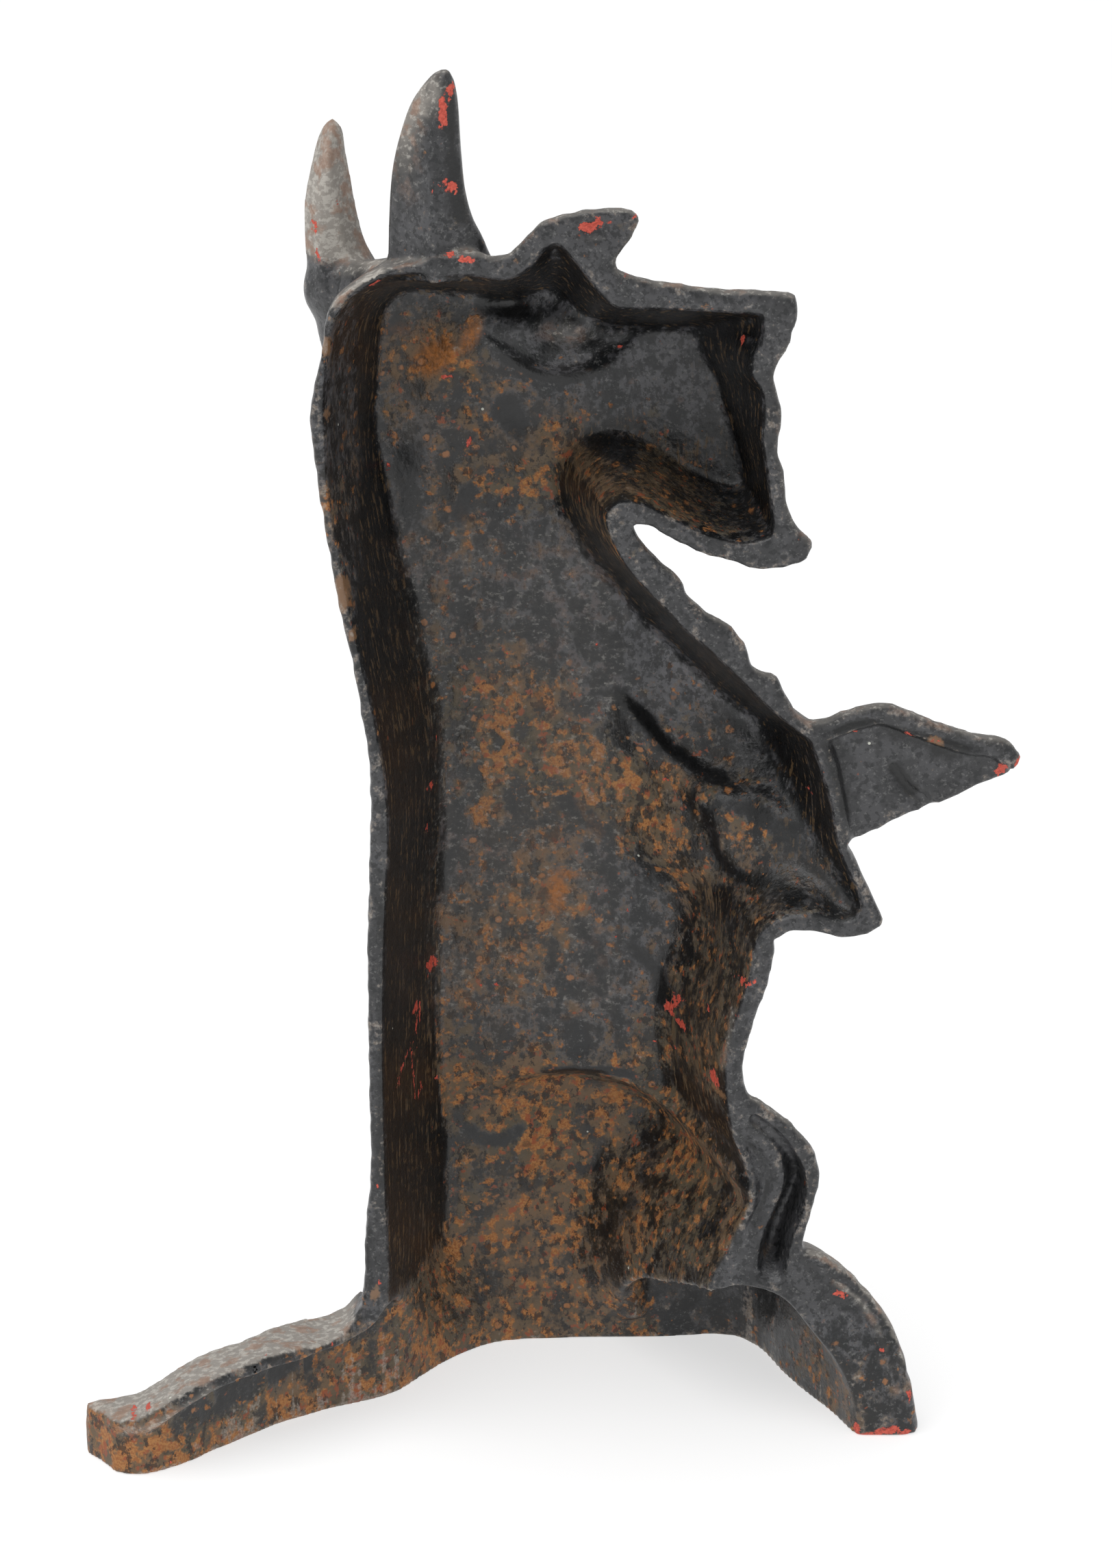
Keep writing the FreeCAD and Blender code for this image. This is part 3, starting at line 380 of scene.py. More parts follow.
def soften(field, rounds):
    """The field, evened out a little more with every round."""
    for _ in range(rounds):
        padded = np.pad(field, 1, mode="edge")
        field = (padded[:-2] + 2 * padded[1:-1] + padded[2:]) / 4
        field = (field[:, :-2] + 2 * field[:, 1:-1] + field[:, 2:]) / 4
    return field


# lines cut into the show side: depth, half width and the line
SHOW_LINES = [
    (1.6, 1.3, [(54, 262), (44, 261), (34, 264), (26, 270)]),
    (1.4, 1.2, [(57, 292), (50, 289), (47, 283)]), (1.2, 1.2, [(8, 292), (2, 290), (-5, 291)]),
    (1.2, 1.1, [(9, 284), (2, 281), (-5, 284)]),
    (1.5, 1.6, [(-44, 300), (-40, 282), (-34, 268), (-24, 262), (-17, 270), (-14, 286)]),
    (1.4, 1.5, [(60, 186), (46, 184), (30, 190), (16, 204)]),
    (1.5, 1.6, [(68, 150), (52, 152), (36, 160), (22, 174)]),
    (1.5, 1.8, [(-30, 74), (-22, 96), (-4, 110), (20, 108), (38, 96), (48, 88)]),
    (1.3, 1.5, [(56, 44), (44, 40), (30, 42), (18, 48)]), (1.0, 1.0, [(88, 14), (82, 18), (76, 20)]),
    (1.0, 1.0, [(90, 8), (84, 9), (78, 10)]), (0.9, 0.9, [(112, 184), (106, 184), (100, 186)]),
    (0.9, 0.9, [(110, 180), (104, 180), (98, 182)])]
# locks on the chest, on the back and in the beard
for i in range(5):
    for j in range(5):
        cx, cz = 3 * i - 5 * j, -10 * i - 6 * j
        SHOW_LINES.append((1.1, 1.5, [(12 + cx, 244 + cz), (6 + cx, 236 + cz), (4 + cx, 226 + cz)]))
for i in range(5):
    for j in range(4):
        cx, cz = 15 * j + 3 * (i % 2), -13 * i
        SHOW_LINES.append((0.9, 1.4, [(-36 + cx, 176 + cz), (-38 + cx, 169 + cz), (-36 + cx, 163 + cz)]))
for i in range(4):
    cx, cz = 8 * i, -2 * i
    SHOW_LINES.append((1.0, 1.3, [(18 + cx, 258 + cz), (20 + cx, 250 + cz), (25 + cx, 243 - i)]))
# forms that stand out on the show side, as height, x, z, half sizes and turn:
# eye, brow, cheek, nose, beard, shoulder, foreleg, haunch and back
SHOW_FORMS = [
    (2.2, 2, 287, 4, 3.2, 0), (1.8, 2, 296, 9, 3, 8), (2.0, -4, 272, 13, 9, 0), (2.0, 53, 297, 5, 4.5, 0),
    (2.2, 42, 255, 10, 6, 0), (2.6, 22, 172, 26, 9, -28), (2.4, 44, 190, 16, 7, -20),
    (2.8, 8, 72, 24, 26, 0), (1.8, -16, 200, 16, 26, 8)]


def back_depth(x, z, d_shape, front):
    """Depth of the show side: an even wall behind the hollow, and solid paws, tuft, beard, shank and foot."""
    y = soften(thicken(front, WALL), 1)
    edge = np.maximum(d_shape, 0)
    for height, *place in SHOW_FORMS:
        y = y + height * bump(x, z, *place)
    cut = np.zeros(x.shape)
    for depth, width, line in SHOW_LINES:
        cut = np.maximum(cut, 2.2 * depth * groove(x, z, line, 1.35 * width))
    y = soft_min(y - np.minimum(cut, 2.8), DEEPEST, 4.0)
    paw = smooth(60, 67, x) * smooth(154, 160, z)
    tuft = smooth(313, 317, z) * smooth(-14, -5, x) * smooth(24, 20, x)
    beard = smooth(38, 44, x) * smooth(243, 239, z) * smooth(226, 232, z)
    shank = smooth(46, 52, x) * smooth(95, 88, z) * smooth(30, 38, z)
    foot = smooth(52, 60, x) * smooth(50, 44, z)
    # the solid forms, with their thickness, the slope of their sides and how round they are
    for form, thickness, slope, roundness in ((paw, 12.5, 2.6, 5.0), (tuft, 15.0, 3.0, 6.0),
                                              (beard, 16.0, 3.0, 6.0), (shank, 20.0, 3.2, 8.0),
                                              (foot, 14.0, 3.0, 8.0)):
        solid = soft_min(thickness, 3.0 + slope * edge, roundness)
        y = np.maximum(y, mix(NOTHING, solid, form))
    tail_far = along([(-121, -13), (-107, -12.2), (-90, -5.6), (-80, -2.4), (-71, 3.6), (-65, 7.6),
                      (-56, 12.6), (-46, 19), (-30, 38)], x)
    return mix(y, tail_far, smooth(-48, -51, x) * smooth(34, 31, z))


# ------------------------------------------------ the casting's skin
class Plane:
    """The casting's depths on the grid of its drawing plane, which can be read at any point between."""

    def __init__(self):
        self.xs = np.arange(-124.0, 119.0 + STEP, STEP)
        self.zs = np.arange(-2.6, 360.0 + STEP, STEP)
        x, z = np.meshgrid(self.xs, self.zs, indexing="ij")
        self.x, self.z = x, z
        self.shape = line_distance(SILHOUETTE, x, z, True)
        fine_waves = 0.16 * np.sin(1.1 * x + 0.5 * z) * np.sin(0.8 * z - 0.3 * x + 1.0)
        self.shape = self.shape + fine_waves + 0.10 * np.sin(0.37 * x - 0.61 * z)
        self.hollow = line_distance(HOLLOW, x, z, True)
        slope = blend(x, z, SLOPES, 10.0, 3.6)
        self.front, self.floor = front_depth(x, z, self.shape, self.hollow, slope)
        self.back = back_depth(x, z, self.shape, self.front)

    def read(self, field, x, z):
        """The field's value at any place, between its grid points."""
        u = np.clip((x - self.xs[0]) / STEP, 0, len(self.xs) - 1.001)
        v = np.clip((z - self.zs[0]) / STEP, 0, len(self.zs) - 1.001)
        i, j = u.astype(int), v.astype(int)
        u, v = u - i, v - j
        return ((1 - u) * (1 - v) * field[i, j] + u * (1 - v) * field[i + 1, j]
                + (1 - u) * v * field[i, j + 1] + u * v * field[i + 1, j + 1])


def steepness(field):
    """How much longer the way through a sloping wall is along y than straight through it."""
    gx, gz = np.gradient(field, STEP)
    return np.sqrt(1.0 + gx * gx + gz * gz)


def casting_field(plane, ys):
    """How far inside the iron every grid point is, in millimetres."""
    x, z = plane.x[:, None, :], plane.z[:, None, :]
    y = ys[None, :, None]
    front = ((y - plane.front[:, None, :]) / steepness(plane.front)[:, None, :]).astype(np.float32)
    back = ((plane.back[:, None, :] - y) / steepness(plane.back)[:, None, :]).astype(np.float32)
    shape = plane.shape[:, None, :].astype(np.float32)
    inside = soft_min(soft_min(front, shape, 1.8), back, 1.6)
    # near ear: a horn with a ridge down its face
    d_ear = line_distance(NEAR_EAR, plane.x, plane.z, True)
    ridge_x = np.interp(plane.z, [300, 330, 345, 356], [-29.5, -29.0, -27.8, -25.6])
    lean = smooth(300, 356, plane.z)
    ear_front = 0.6 + np.where(plane.x < ridge_x, 0.85, 0.45) * np.abs(plane.x - ridge_x) + 1.5 * lean
    ear_back = 3.0 + np.minimum(21.0 - 9.0 * lean, 2.6 * np.maximum(d_ear, 0) + 2.0)
    ear = soft_min(soft_min(((y - ear_front[:, None, :]) / 1.25), d_ear[:, None, :], 2.4),
                   ((ear_back[:, None, :] - y) / steepness(ear_back)[:, None, :]), 2.4)
    ear = soft_min(ear, z - NEAR_EAR_FOOT, 0.8)
    # far ear: a thin blade behind the rim line
    d_far = line_distance(FAR_EAR, plane.x, plane.z, True)
    half = np.minimum(6.5, 1.4 * np.maximum(d_far, 0) + 0.8)
    blade = (half[:, None, :] - np.abs(y - FAR_EAR_Y + (z - 300) * 0.03)) / 1.5
    far = soft_min(blade, d_far[:, None, :], 1.6)
    far = soft_min(far, z - FAR_EAR_FOOT, 3.0)
    far = soft_min(far, (y - plane.front[:, None, :] - 2.0) / steepness(plane.front)[:, None, :], 1.5)
    # the crown between the ears
    a, b = np.array([-55.0, FAR_EAR_Y, 295.0]), np.array([-34.0, 13.0, 301.2])
    along_crown = np.clip(((x - a[0]) * (b - a)[0] + (y - a[1]) * (b - a)[1] + (z - a[2]) * (b - a)[2])
                          / ((b - a) @ (b - a)), 0, 1)
    crown = 6.5 - np.sqrt((x - a[0] - along_crown * (b - a)[0]) ** 2
                          + (y - a[1] - along_crown * (b - a)[1]) ** 2
                          + (z - a[2] - along_crown * (b - a)[2]) ** 2)
    crown = soft_min(crown, (y - plane.front[:, None, :] - 2.0) / steepness(plane.front)[:, None, :], 1.5)
    inside = soft_max(inside, ear, 2.2)
    inside = soft_max(inside, far, 3.0)
    inside = soft_max(inside, crown, 3.0)
    return np.minimum(inside, z).astype(np.float32)


def skin(field, low):
    """The surface where the field is zero, as points and four-sided faces that look outwards."""
    inside = field > 0
    sizes = field.shape
    points, sums, faces = [], [], []
    for axis in range(3):
        here = [slice(None)] * 3
        there = [slice(None)] * 3
        here[axis], there[axis] = slice(0, -1), slice(1, None)
        here, there = tuple(here), tuple(there)
        i, j, k = np.nonzero(inside[here] != inside[there])
        corner = np.stack([i, j, k], 1)
        step = np.zeros(3, int)
        step[axis] = 1
        a = field[i, j, k]
        b = field[i + step[0], j + step[1], k + step[2]]
        crossing = corner + step * (a / (a - b))[:, None]
        o1, o2 = [(1, 2), (2, 0), (0, 1)][axis]
        cells = []
        for s1, s2 in ((1, 1), (0, 1), (0, 0), (1, 0)):
            cell = corner.copy()
            cell[:, o1] -= s1
            cell[:, o2] -= s2
            cells.append((cell[:, 0] * sizes[1] + cell[:, 1]) * sizes[2] + cell[:, 2])
        cells = np.stack(cells, 1)
        cells[a < 0] = cells[a < 0][:, ::-1]
        faces.append(cells)
        sums.append(np.repeat(crossing, 4, 0).reshape(-1, 3))
        points.append(np.stack([cells[:, c] for c in range(4)], 1).reshape(-1))
    faces = np.vstack(faces)
    ids, where = np.unique(np.concatenate(points), return_inverse=True)
    sums = np.vstack(sums)
    count = np.bincount(where)
    place = np.stack([np.bincount(where, weights=sums[:, c]) / count for c in range(3)], 1)
    return np.array(low) + place * STEP, np.searchsorted(ids, faces)


def vertex_smooth(values, edges, count, rounds, share=0.5):
    """Spreads a value over neighbouring points."""
    shared = np.maximum(count, 1).reshape(-1, *[1] * (values.ndim - 1))
    for _ in range(rounds):
        total = np.zeros_like(values)
        np.add.at(total, edges[:, 0], values[edges[:, 1]])
        np.add.at(total, edges[:, 1], values[edges[:, 0]])
        values = values * (1 - share) + share * total / shared
    return values


plane = Plane()
ys = np.arange(-30.4, 60.0 + STEP, STEP)
field = casting_field(plane, ys)
points, faces = skin(field, (plane.xs[0], ys[0], plane.zs[0]))
del field
points[:, 2] = np.maximum(points[:, 2], 0.0)

# the drawing plane's origin in the frame of the solids
rim_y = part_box("torso_shell")[0].y
origin_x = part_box("upper_paw")[1].x - PAW_TIP * MM
places = points * MM + np.array([origin_x, rim_y, 0.0])

mesh = bpy.data.meshes.new("terrier_casting")
mesh.vertices.add(len(places))
mesh.vertices.foreach_set("co", places.ravel())
mesh.loops.add(faces.size)
mesh.loops.foreach_set("vertex_index", faces.ravel())
mesh.polygons.add(len(faces))
mesh.polygons.foreach_set("loop_start", np.arange(0, faces.size, 4))
mesh.update(calc_edges=True)
mesh.validate()
casting = bpy.data.objects.new("terrier_casting", mesh)
bpy.context.scene.collection.objects.link(casting)

triangles = 2 * len(faces)
if triangles > TRIANGLES:
    thin = casting.modifiers.new("thin", "DECIMATE")
    thin.ratio = TRIANGLES / triangles
    thin.use_collapse_triangulate = True
    casting.vertex_groups.new(name="even").add(list(range(len(mesh.vertices))), 1.0, "REPLACE")
    thin.vertex_group = "even"
    thin.vertex_group_factor = EVEN
    graph = bpy.context.evaluated_depsgraph_get()
    thinned = bpy.data.meshes.new_from_object(casting.evaluated_get(graph))
    casting.modifiers.clear()
    casting.data = thinned
    bpy.data.meshes.remove(mesh)
    thinned.name = "terrier_casting"
mesh = casting.data
mesh.shade_smooth()

# ------------------------------------------------ where the paint has worn, and where shade and highlights are painted, on the hollow side
# places of bare rust, as x, z and how much of the paint it has taken
RUST = [
    (-35, 292, .35), (-30, 276, .8), (-21, 268, .5), (-43, 268, .5), (-11, 257, .4), (-32, 257, .35),
    (-18, 246, .7), (4, 250, .8), (21, 251, .75), (38, 242, .6), (14, 263, .2), (-4, 281, .1),
    (32, 274, .1), (42, 262, .2), (-46, 248, .5), (-32, 234, .45), (-18, 226, .45), (-4, 227, .3),
    (-43, 223, .3), (-33, 207, .35), (-22, 204, .5), (-11, 192, .55), (-22, 184, .75), (-11, 176, .8),
    (4, 169, .7), (15, 182, .35), (18, 196, .15), (4, 207, .1), (-11, 215, .2), (-18, 165, .6),
    (-33, 168, .25), (18, 159, .7), (29, 149, .6), (0, 131, .8), (-11, 141, .35), (-18, 149, .5),
    (-33, 144, .15), (11, 134, .2), (19, 126, .3), (-22, 121, .6), (-7, 117, .55), (-30, 102, .5),
    (-15, 102, .4), (4, 102, .4), (19, 102, .35), (30, 89, .6), (15, 110, .25), (-34, 84, .6),
    (-19, 70, .7), (-4, 61, .85), (11, 65, .6), (-15, 45, .55), (0, 40, .65), (15, 47, .6), (-30, 47, .5),
    (-37, 41, .6), (-23, 24, .55), (-8, 24, .6), (11, 27, .5), (26, 53, .45), (37, 58, .8), (44, 57, .75),
    (37, 48, .8), (28, 39, .6), (-34, 20, .7), (-15, 11, .65), (4, 12, .6), (23, 26, .5), (40, 35, .4),
    (54, 6, .45), (67, 8, .55), (74, 5, .65), (85, 9, .3), (80, 24, .3), (-40, 75, .4), (-38, 111, .25),
    (-38, 152, .3), (-49, 220, .3), (-48, 234, .4), (45, 154, .5), (54, 149, .65), (61, 143, .4),
    (57, 153, .4), (67, 168, .15), (74, 173, .05), (88, 180, .05), (44, 302, .25), (51, 299, .15),
    (48, 270, .3), (52, 250, .25), (-55, 268, .15), (47, 119, .6), (42, 106, .65), (40, 93, .75),
    (48, 132, .6), (51, 85, .25), (62, 67, .05), (57, 52, .1), (77, 41, .05), (-46, 120, .02),
    (-47, 49, .05), (-51, 29, .25), (-70, 15, .5), (-88, 15, .5), (-101, 14, .6), (-109, 6, .9),
    (-95, 3, .9), (-78, 6, .9), (-60, 10, .85), (-41, 13, .9), (-80, 28, .3), (-95, 23, .25)]
# chips down to the red primer, as x, z, half width, half height and turn
CHIPS = [
    (7.4, 317.6, 1.7, 1.3, 0), (9.9, 318.5, .8, 1.6, 0), (12.8, 318.9, .5, .3, 0),
    (19.1, 320.3, .7, .3, 0), (16.7, 306.1, .3, 1.3, -35), (-8.9, 309.9, .8, .4, 0),
    (15.6, 280.3, .7, .5, 0), (45, 288, .6, .8, 0), (-21.8, 253.7, .8, 1.2, 0),
    (-27.2, 270.7, 1.3, .5, 0), (-42.1, 246.4, .7, .8, 0), (10, 199, .6, .8, 0), (-31, 174.4, .5, .4, 0),
    (-32.2, 163, .7, .9, 0), (-32.6, 152, .9, 1, 0), (-32.4, 112.5, 1.3, 1.7, 0),
    (14.2, 124.1, .5, .9, 0), (16, 119.2, .6, .8, 0), (18.7, 126.6, .3, .5, 0),
    (47.2, 123.4, 2.3, .6, 30), (28.1, 165.3, .9, .7, 0), (-19.2, 105.1, .6, .5, 0),
    (-15.6, 105.1, .5, .4, 0), (32.1, 106.4, .9, .6, 0), (63.6, 170.4, .4, .7, 0),
    (-12.2, 196.6, .8, .3, 0), (-36.1, 104.9, .8, 1.3, 0), (-37.4, 96.4, .7, 1.1, 0),
    (-35.8, 80.4, 1.3, .7, 0), (-36.7, 86.8, .6, .9, 0), (-31.4, 79.1, .6, .6, 0),
    (-35.9, 100.2, .6, .5, 0), (-39.7, 98.9, .4, .7, 0), (-40.8, 91.7, .3, .9, 0),
    (-39.7, 85.8, .3, .6, 0), (-45.8, 68.5, .6, .6, 0), (-45.5, 40.7, .5, .5, 0), (25.9, 95.9, .6, .6, 0),
    (25.9, 90.1, .6, .6, 0), (29.4, 101.9, 1.1, 1.5, 0), (31, 104.1, .6, 1.3, 0),
    (32.6, 99.8, 1.3, 1.1, 0), (30.8, 91.7, .4, .4, 0), (38.7, 110.4, .6, .6, 0), (40.5, 94.9, 1, 1.9, 0),
    (45.3, 115.3, .6, .4, 0), (73.1, 38, 1.7, .7, 0), (85.2, 2.1, 3.2, 1.7, 0), (80.5, .3, 2.8, .7, 0),
    (77.9, 2.2, .7, 1.1, 0), (90.5, 1, 2, .8, 0), (91.3, 11.4, .6, 1.3, 0), (84.4, 23.3, .7, .5, 0),
    (110.2, 180.8, 1.1, 1.8, -20), (114.1, 182.9, .6, 1.5, -20), (86.7, 190.3, .8, .4, -20),
    (73.6, 190.6, .5, .4, 0), (93.7, 188.5, .8, .4, 0), (-74.5, 28.4, 1, .5, 0), (-76.4, 28.2, .6, .4, 0),
    (-84.1, 26.8, .8, .5, 0), (-85.3, 26.5, 1, .5, 0), (-107.4, 16.3, .8, .5, 0),
    (-103.7, 17.8, .6, .5, 0), (-98.9, 2, .7, .5, 0), (-57.5, 26.2, .4, .4, 0),
    (-26.5, 326.8, 2.8, 2.9, 0), (-26.6, 344.1, 1, 3.9, 0), (-24.8, 350.1, .7, 1.5, 0),
    (-26, 338.3, .8, .8, 0), (-21.4, 309.8, 1.7, .9, 0), (-25.1, 311.1, 1, .5, 0),
    (-43.3, 303.5, 1.2, .5, 35), (-58.7, 312.2, .8, 1.5, 0), (-58.1, 304.5, .7, 1.7, 0),
    (-52.8, 318.3, .4, .4, 0), (-51.8, 336.4, .4, .7, 0)]
# painted shade in creases and grooves, in the eye socket, under the ledge and the tail's flange and on the
# near ear's right facet, and thick black paint that was never rubbed: strength, half width and the line that
# it follows
SHADE_AND_BLACK_PAINT = [
    (0.75, 2.6, [(17, 185.4), (23.5, 179), (29, 172.6), (36.5, 168.4), (44, 167.6)]),
    (0.7, 2.6, [(38, 160), (40, 154), (41.5, 148), (47, 145.5), (54, 146.5), (62, 144.5)]),
    (0.9, 1.6, [(-3, 80.2), (4, 81), (13, 81.6), (21, 80.2)]),
    (0.45, 2.6, [(29, 70), (27, 62), (22, 50)]), (0.6, 2.4, [(20, 46), (15, 38), (12, 31)]),
    (0.5, 3.5, [(43, 62), (42, 55), (38, 49)]), (0.8, 8.0, [(32, 22), (46, 27), (60, 20)]),
    (0.55, 10.0, [(32, 9), (46, 10), (58, 6)]),
    (0.55, 0.9, [(47.3, 80.8), (51.4, 76.4), (53.9, 71.1), (54.0, 65.8), (52.0, 60.4), (49.3, 55.6)]),
    (0.6, 4.0, [(44, 164), (54, 160), (62, 154)]), (0.55, 5.0, [(46, 196), (38, 206), (28, 214)]),
    (0.8, 1.7, [(69, 191), (77, 193), (86, 190.5), (94, 188.5), (103, 185.5)]),
    (1.0, 2.2, [(83.6, 180.6), (89.5, 173.4)]), (0.55, 3.5, [(82, 190), (92, 187), (101, 183)]),
    (0.7, 3.0, [(67, 188), (70, 178), (72, 168)]), (0.85, 2.4, [(-25.5, 347), (-25, 332), (-22.5, 316)]),
    (0.6, 4.0, [(-44, 60), (-43, 100), (-42, 150)]), (0.55, 7.0, [(-36, 250), (-38, 232)]),
    (0.9, 1.8, [(-30, 60), (-31, 48), (-30, 36)]), (0.9, 5.0, [(-12, 262), (-9, 257)]),
    (0.8, 3.0, [(-22, 240), (-25, 232)]), (1.0, 3.4, [(-17, 290), (-8, 289)]),
    (1.0, 1.6, [(-13, 276), (-6, 272), (1, 270), (8, 272)]), (0.7, 3.0, [(9, 257), (14, 256), (19, 255)]),
    (0.8, 3.0, [(3, 156), (9, 151), (14, 147)]), (0.7, 3.0, [(20, 116), (26, 110), (28, 101)]),
    (0.7, 3.2, [(-24, 62), (-16, 58), (-9, 62)]), (0.7, 2.6, [(6, 122), (12, 112), (8, 104)]),
    (0.9, 1.6, [(27, 20.5), (33, 24.5), (40, 29.5)]),
    (1.0, 1.5, [(-64, 22.3), (-72, 21.5), (-80, 20.4), (-88, 18)]),
    (0.9, 2.0, [(72, 34), (80, 24), (84, 12)])]
# brown stains on the rim, given like the chips
STAINS = [
    (-55, 288.6, 1.2, 2.4, 0), (-52.4, 226.5, 2.0, 4.5, 0), (-49.7, 216.2, 1, 1.7, 0),
    (-55.2, 271.2, .5, 1.5, 0), (-8.9, 309.9, 1.2, .6, 0), (41.5, 92.2, 1.8, 1, 0),
    (-46.6, 38, 1.1, 2.2, 0), (93.7, 188.5, 2, 1, -15)]


def spots(x, z, places):
    """How far inside the nearest of some oval spots every point is, in millimetres."""
    best = np.full(x.shape, AWAY)
    for cx, cz, rx, rz, turn in places:
        c, s = math.cos(math.radians(turn)), math.sin(math.radians(turn))
        u, v = ((x - cx) * c + (z - cz) * s) / rx, (-(x - cx) * s + (z - cz) * c) / rz
        best = np.maximum(best, (1.12 - np.sqrt(u * u + v * v)) * min(rx, rz))
    return best


count = len(mesh.vertices)
co, normal = np.empty(count * 3), np.empty(count * 3)
mesh.vertices.foreach_get("co", co)
mesh.vertices.foreach_get("normal", normal)
co, normal = co.reshape(-1, 3), normal.reshape(-1, 3)
edges = np.empty(len(mesh.edges) * 2, np.int64)
mesh.edges.foreach_get("vertices", edges)
edges = edges.reshape(-1, 2)
links = np.bincount(edges.ravel(), minlength=count)
# how far every point stands out from the evened skin
flat = vertex_smooth(co, edges, links, 4)
bend = vertex_smooth(((co - flat) * normal).sum(1) / MM, edges, links, 1)
x, y, z = ((co - np.array([origin_x, rim_y, 0.0])) / MM).T
bend = bend * (1 - 0.85 * smooth(304, 308, z) * smooth(-42, -40, x) * smooth(-14, -16, x))
# 1 on the side of the hollow and the rim, 0 on the show side
open_side = np.clip((plane.read(plane.front, x, z) + 3.4 - y) / 1.5, 0, 1)
open_side = np.maximum(open_side, smooth(300, 306, z) * smooth(0.3, -0.1, normal[:, 1]))
in_hollow = plane.read(plane.hollow, x, z)
up = normal[:, 2]
# the tail and what is near the floor
low_parts = np.maximum(smooth(-46, -50, x), smooth(36, 28, z))
# plain enamel, on the rim and on the whole show side
rim = open_side * smooth(0.6, -0.4, in_hollow) * (1 - low_parts)
rim = np.maximum(rim, 1 - open_side)
rust = blend(x, z, RUST, 8.0, 0.3) * open_side * (1 - 0.85 * rim) + 0.16 * (1 - open_side)
rust = np.where((z > 296) & (in_hollow < 0.5), 0.12, rust)
# painted shade: the steep walls inside the hollow, and a band inside the rim's inner edge, are made black and
# streaked, less so where they face up
steep = smooth(0.74, 0.40, np.abs(normal[:, 1]))
wall = steep * smooth(0.0, 1.2, in_hollow) * open_side * (1 - 0.7 * low_parts)
wall = wall * (1 - 0.85 * smooth(84, 72, z) * smooth(4, 16, x)) * (1 - 0.75 * smooth(0.15, 0.5, up))
wall = wall * (1 - 0.62 * smooth(20, 34, x) * smooth(80, 90, z) * smooth(142, 130, z))
near_rim = smooth(20, 9, in_hollow) * smooth(0, 1.2, in_hollow)
wall = np.maximum(wall, 0.42 * near_rim * open_side * (1 - low_parts))
# places where the rust glows orange: strength, then x, z, half sizes and turn
hot = np.maximum.reduce([strength * open_side * bump(x, z, *place) for strength, *place in (
    (1.0, -30, 276, 7, 4.5, 40), (0.8, -21, 282, 3, 7, -25), (1.0, 0, 131, 3, 7), (0.7, 3, 136, 5, 1.5),
    (0.5, -37, 283, 8, 3))])
on_rim = smooth(0.3, -0.2, in_hollow)
dust_and_highlight = np.maximum.reduce([
    # lying on the tail, on ledges outside the hollow, on the foot, the far ear and the crown
    0.85 * smooth(0.35, 0.8, up) * smooth(-50, -53, x) * smooth(0, 8, z),
    0.55 * smooth(0.2, 0.8, up) * smooth(0.5, -1.0, in_hollow) * smooth(40, 60, z),
    0.7 * smooth(0.15, 0.5, up) * smooth(62, 66, x) * smooth(60, 50, z),
    1.0 * smooth(-46, -48, x) * smooth(300, 306, z) * open_side,
    0.9 * smooth(-39, -42, x) * smooth(296, 299, z) * smooth(312, 309, z) * open_side * smooth(0.1, 0.4, up),
    # painted highlights on the near ear: its left facet, its tip and its right edge
    0.75 * smooth(-29.6, -31.0, x) * smooth(-42, -41, x) * smooth(310, 345, z) * open_side,
    0.75 * bump(x, z, -29, 350, 3.0, 6, 10) * open_side,
    0.7 * bump(x, z, -21.2, 335, 1.0, 13) * open_side,
    # along the belly, the tail, the tuft and the paw, and on the tail's end; painted highlights along the rim
    # of the muzzle and of the nape
    0.55 * groove(x, z, [(44.8, 116), (43.2, 107), (41.5, 98)], 0.9) * open_side,
    0.6 * groove(x, z, [(-111, 12), (-104, 13.4), (-96, 17), (-86, 23)], 2.0) * open_side,
    0.42 * groove(x, z, NOSE[2:] + [(62.0, 238.6)], 1.3) * on_rim,
    0.35 * groove(x, z, BACK[10:19], 0.8) * on_rim,
    0.5 * groove(x, z, TUFT_UNDER, 1.0),
    0.35 * groove(x, z, LOCKS_3 + UPPER_PAW_TOP, 1.6),
    0.5 * smooth(-119.0, -120.2, x),
    # painted highlight on the cheek's bulge; paler below the foreleg's ridge, and a haze over the hollow's
    # floor
    0.45 * bump(x, z, 2, 284, 8, 4.5) * open_side,
    0.25 * bump(x, z, 30, 160, 7, 4, -30) * open_side,
    (0.27 * open_side * smooth(3, 14, in_hollow) * smooth(84, 104, z) * smooth(252, 222, z)
     * smooth(26, 12, x))])
# painted shade and black paint along the listed lines
shade_and_black_paint = np.maximum.reduce([open_side * strength * groove(x, z, line, width)
                          for strength, width, line in SHADE_AND_BLACK_PAINT])
chip, stain = (np.where(open_side > 0.5, spots(x, z, places), AWAY) for places in (CHIPS, STAINS))
# wear marks together with the painted shade and highlights, carried by the mesh to its shader
WEAR_AND_PAINTED_LIGHT = {"shade_and_black_paint": shade_and_black_paint, "rust": rust, "wall": wall, "dust_and_highlight": dust_and_highlight, "hot": hot, "rim": rim, "chip": chip,
        "stain": stain, "edge": np.clip(bend / 0.5, -1, 1)}
for name, values in WEAR_AND_PAINTED_LIGHT.items():
    layer = mesh.attributes.new("wear_and_painted_light_" + name, "FLOAT", "POINT")
    layer.data.foreach_set("value", values.astype(np.float32))


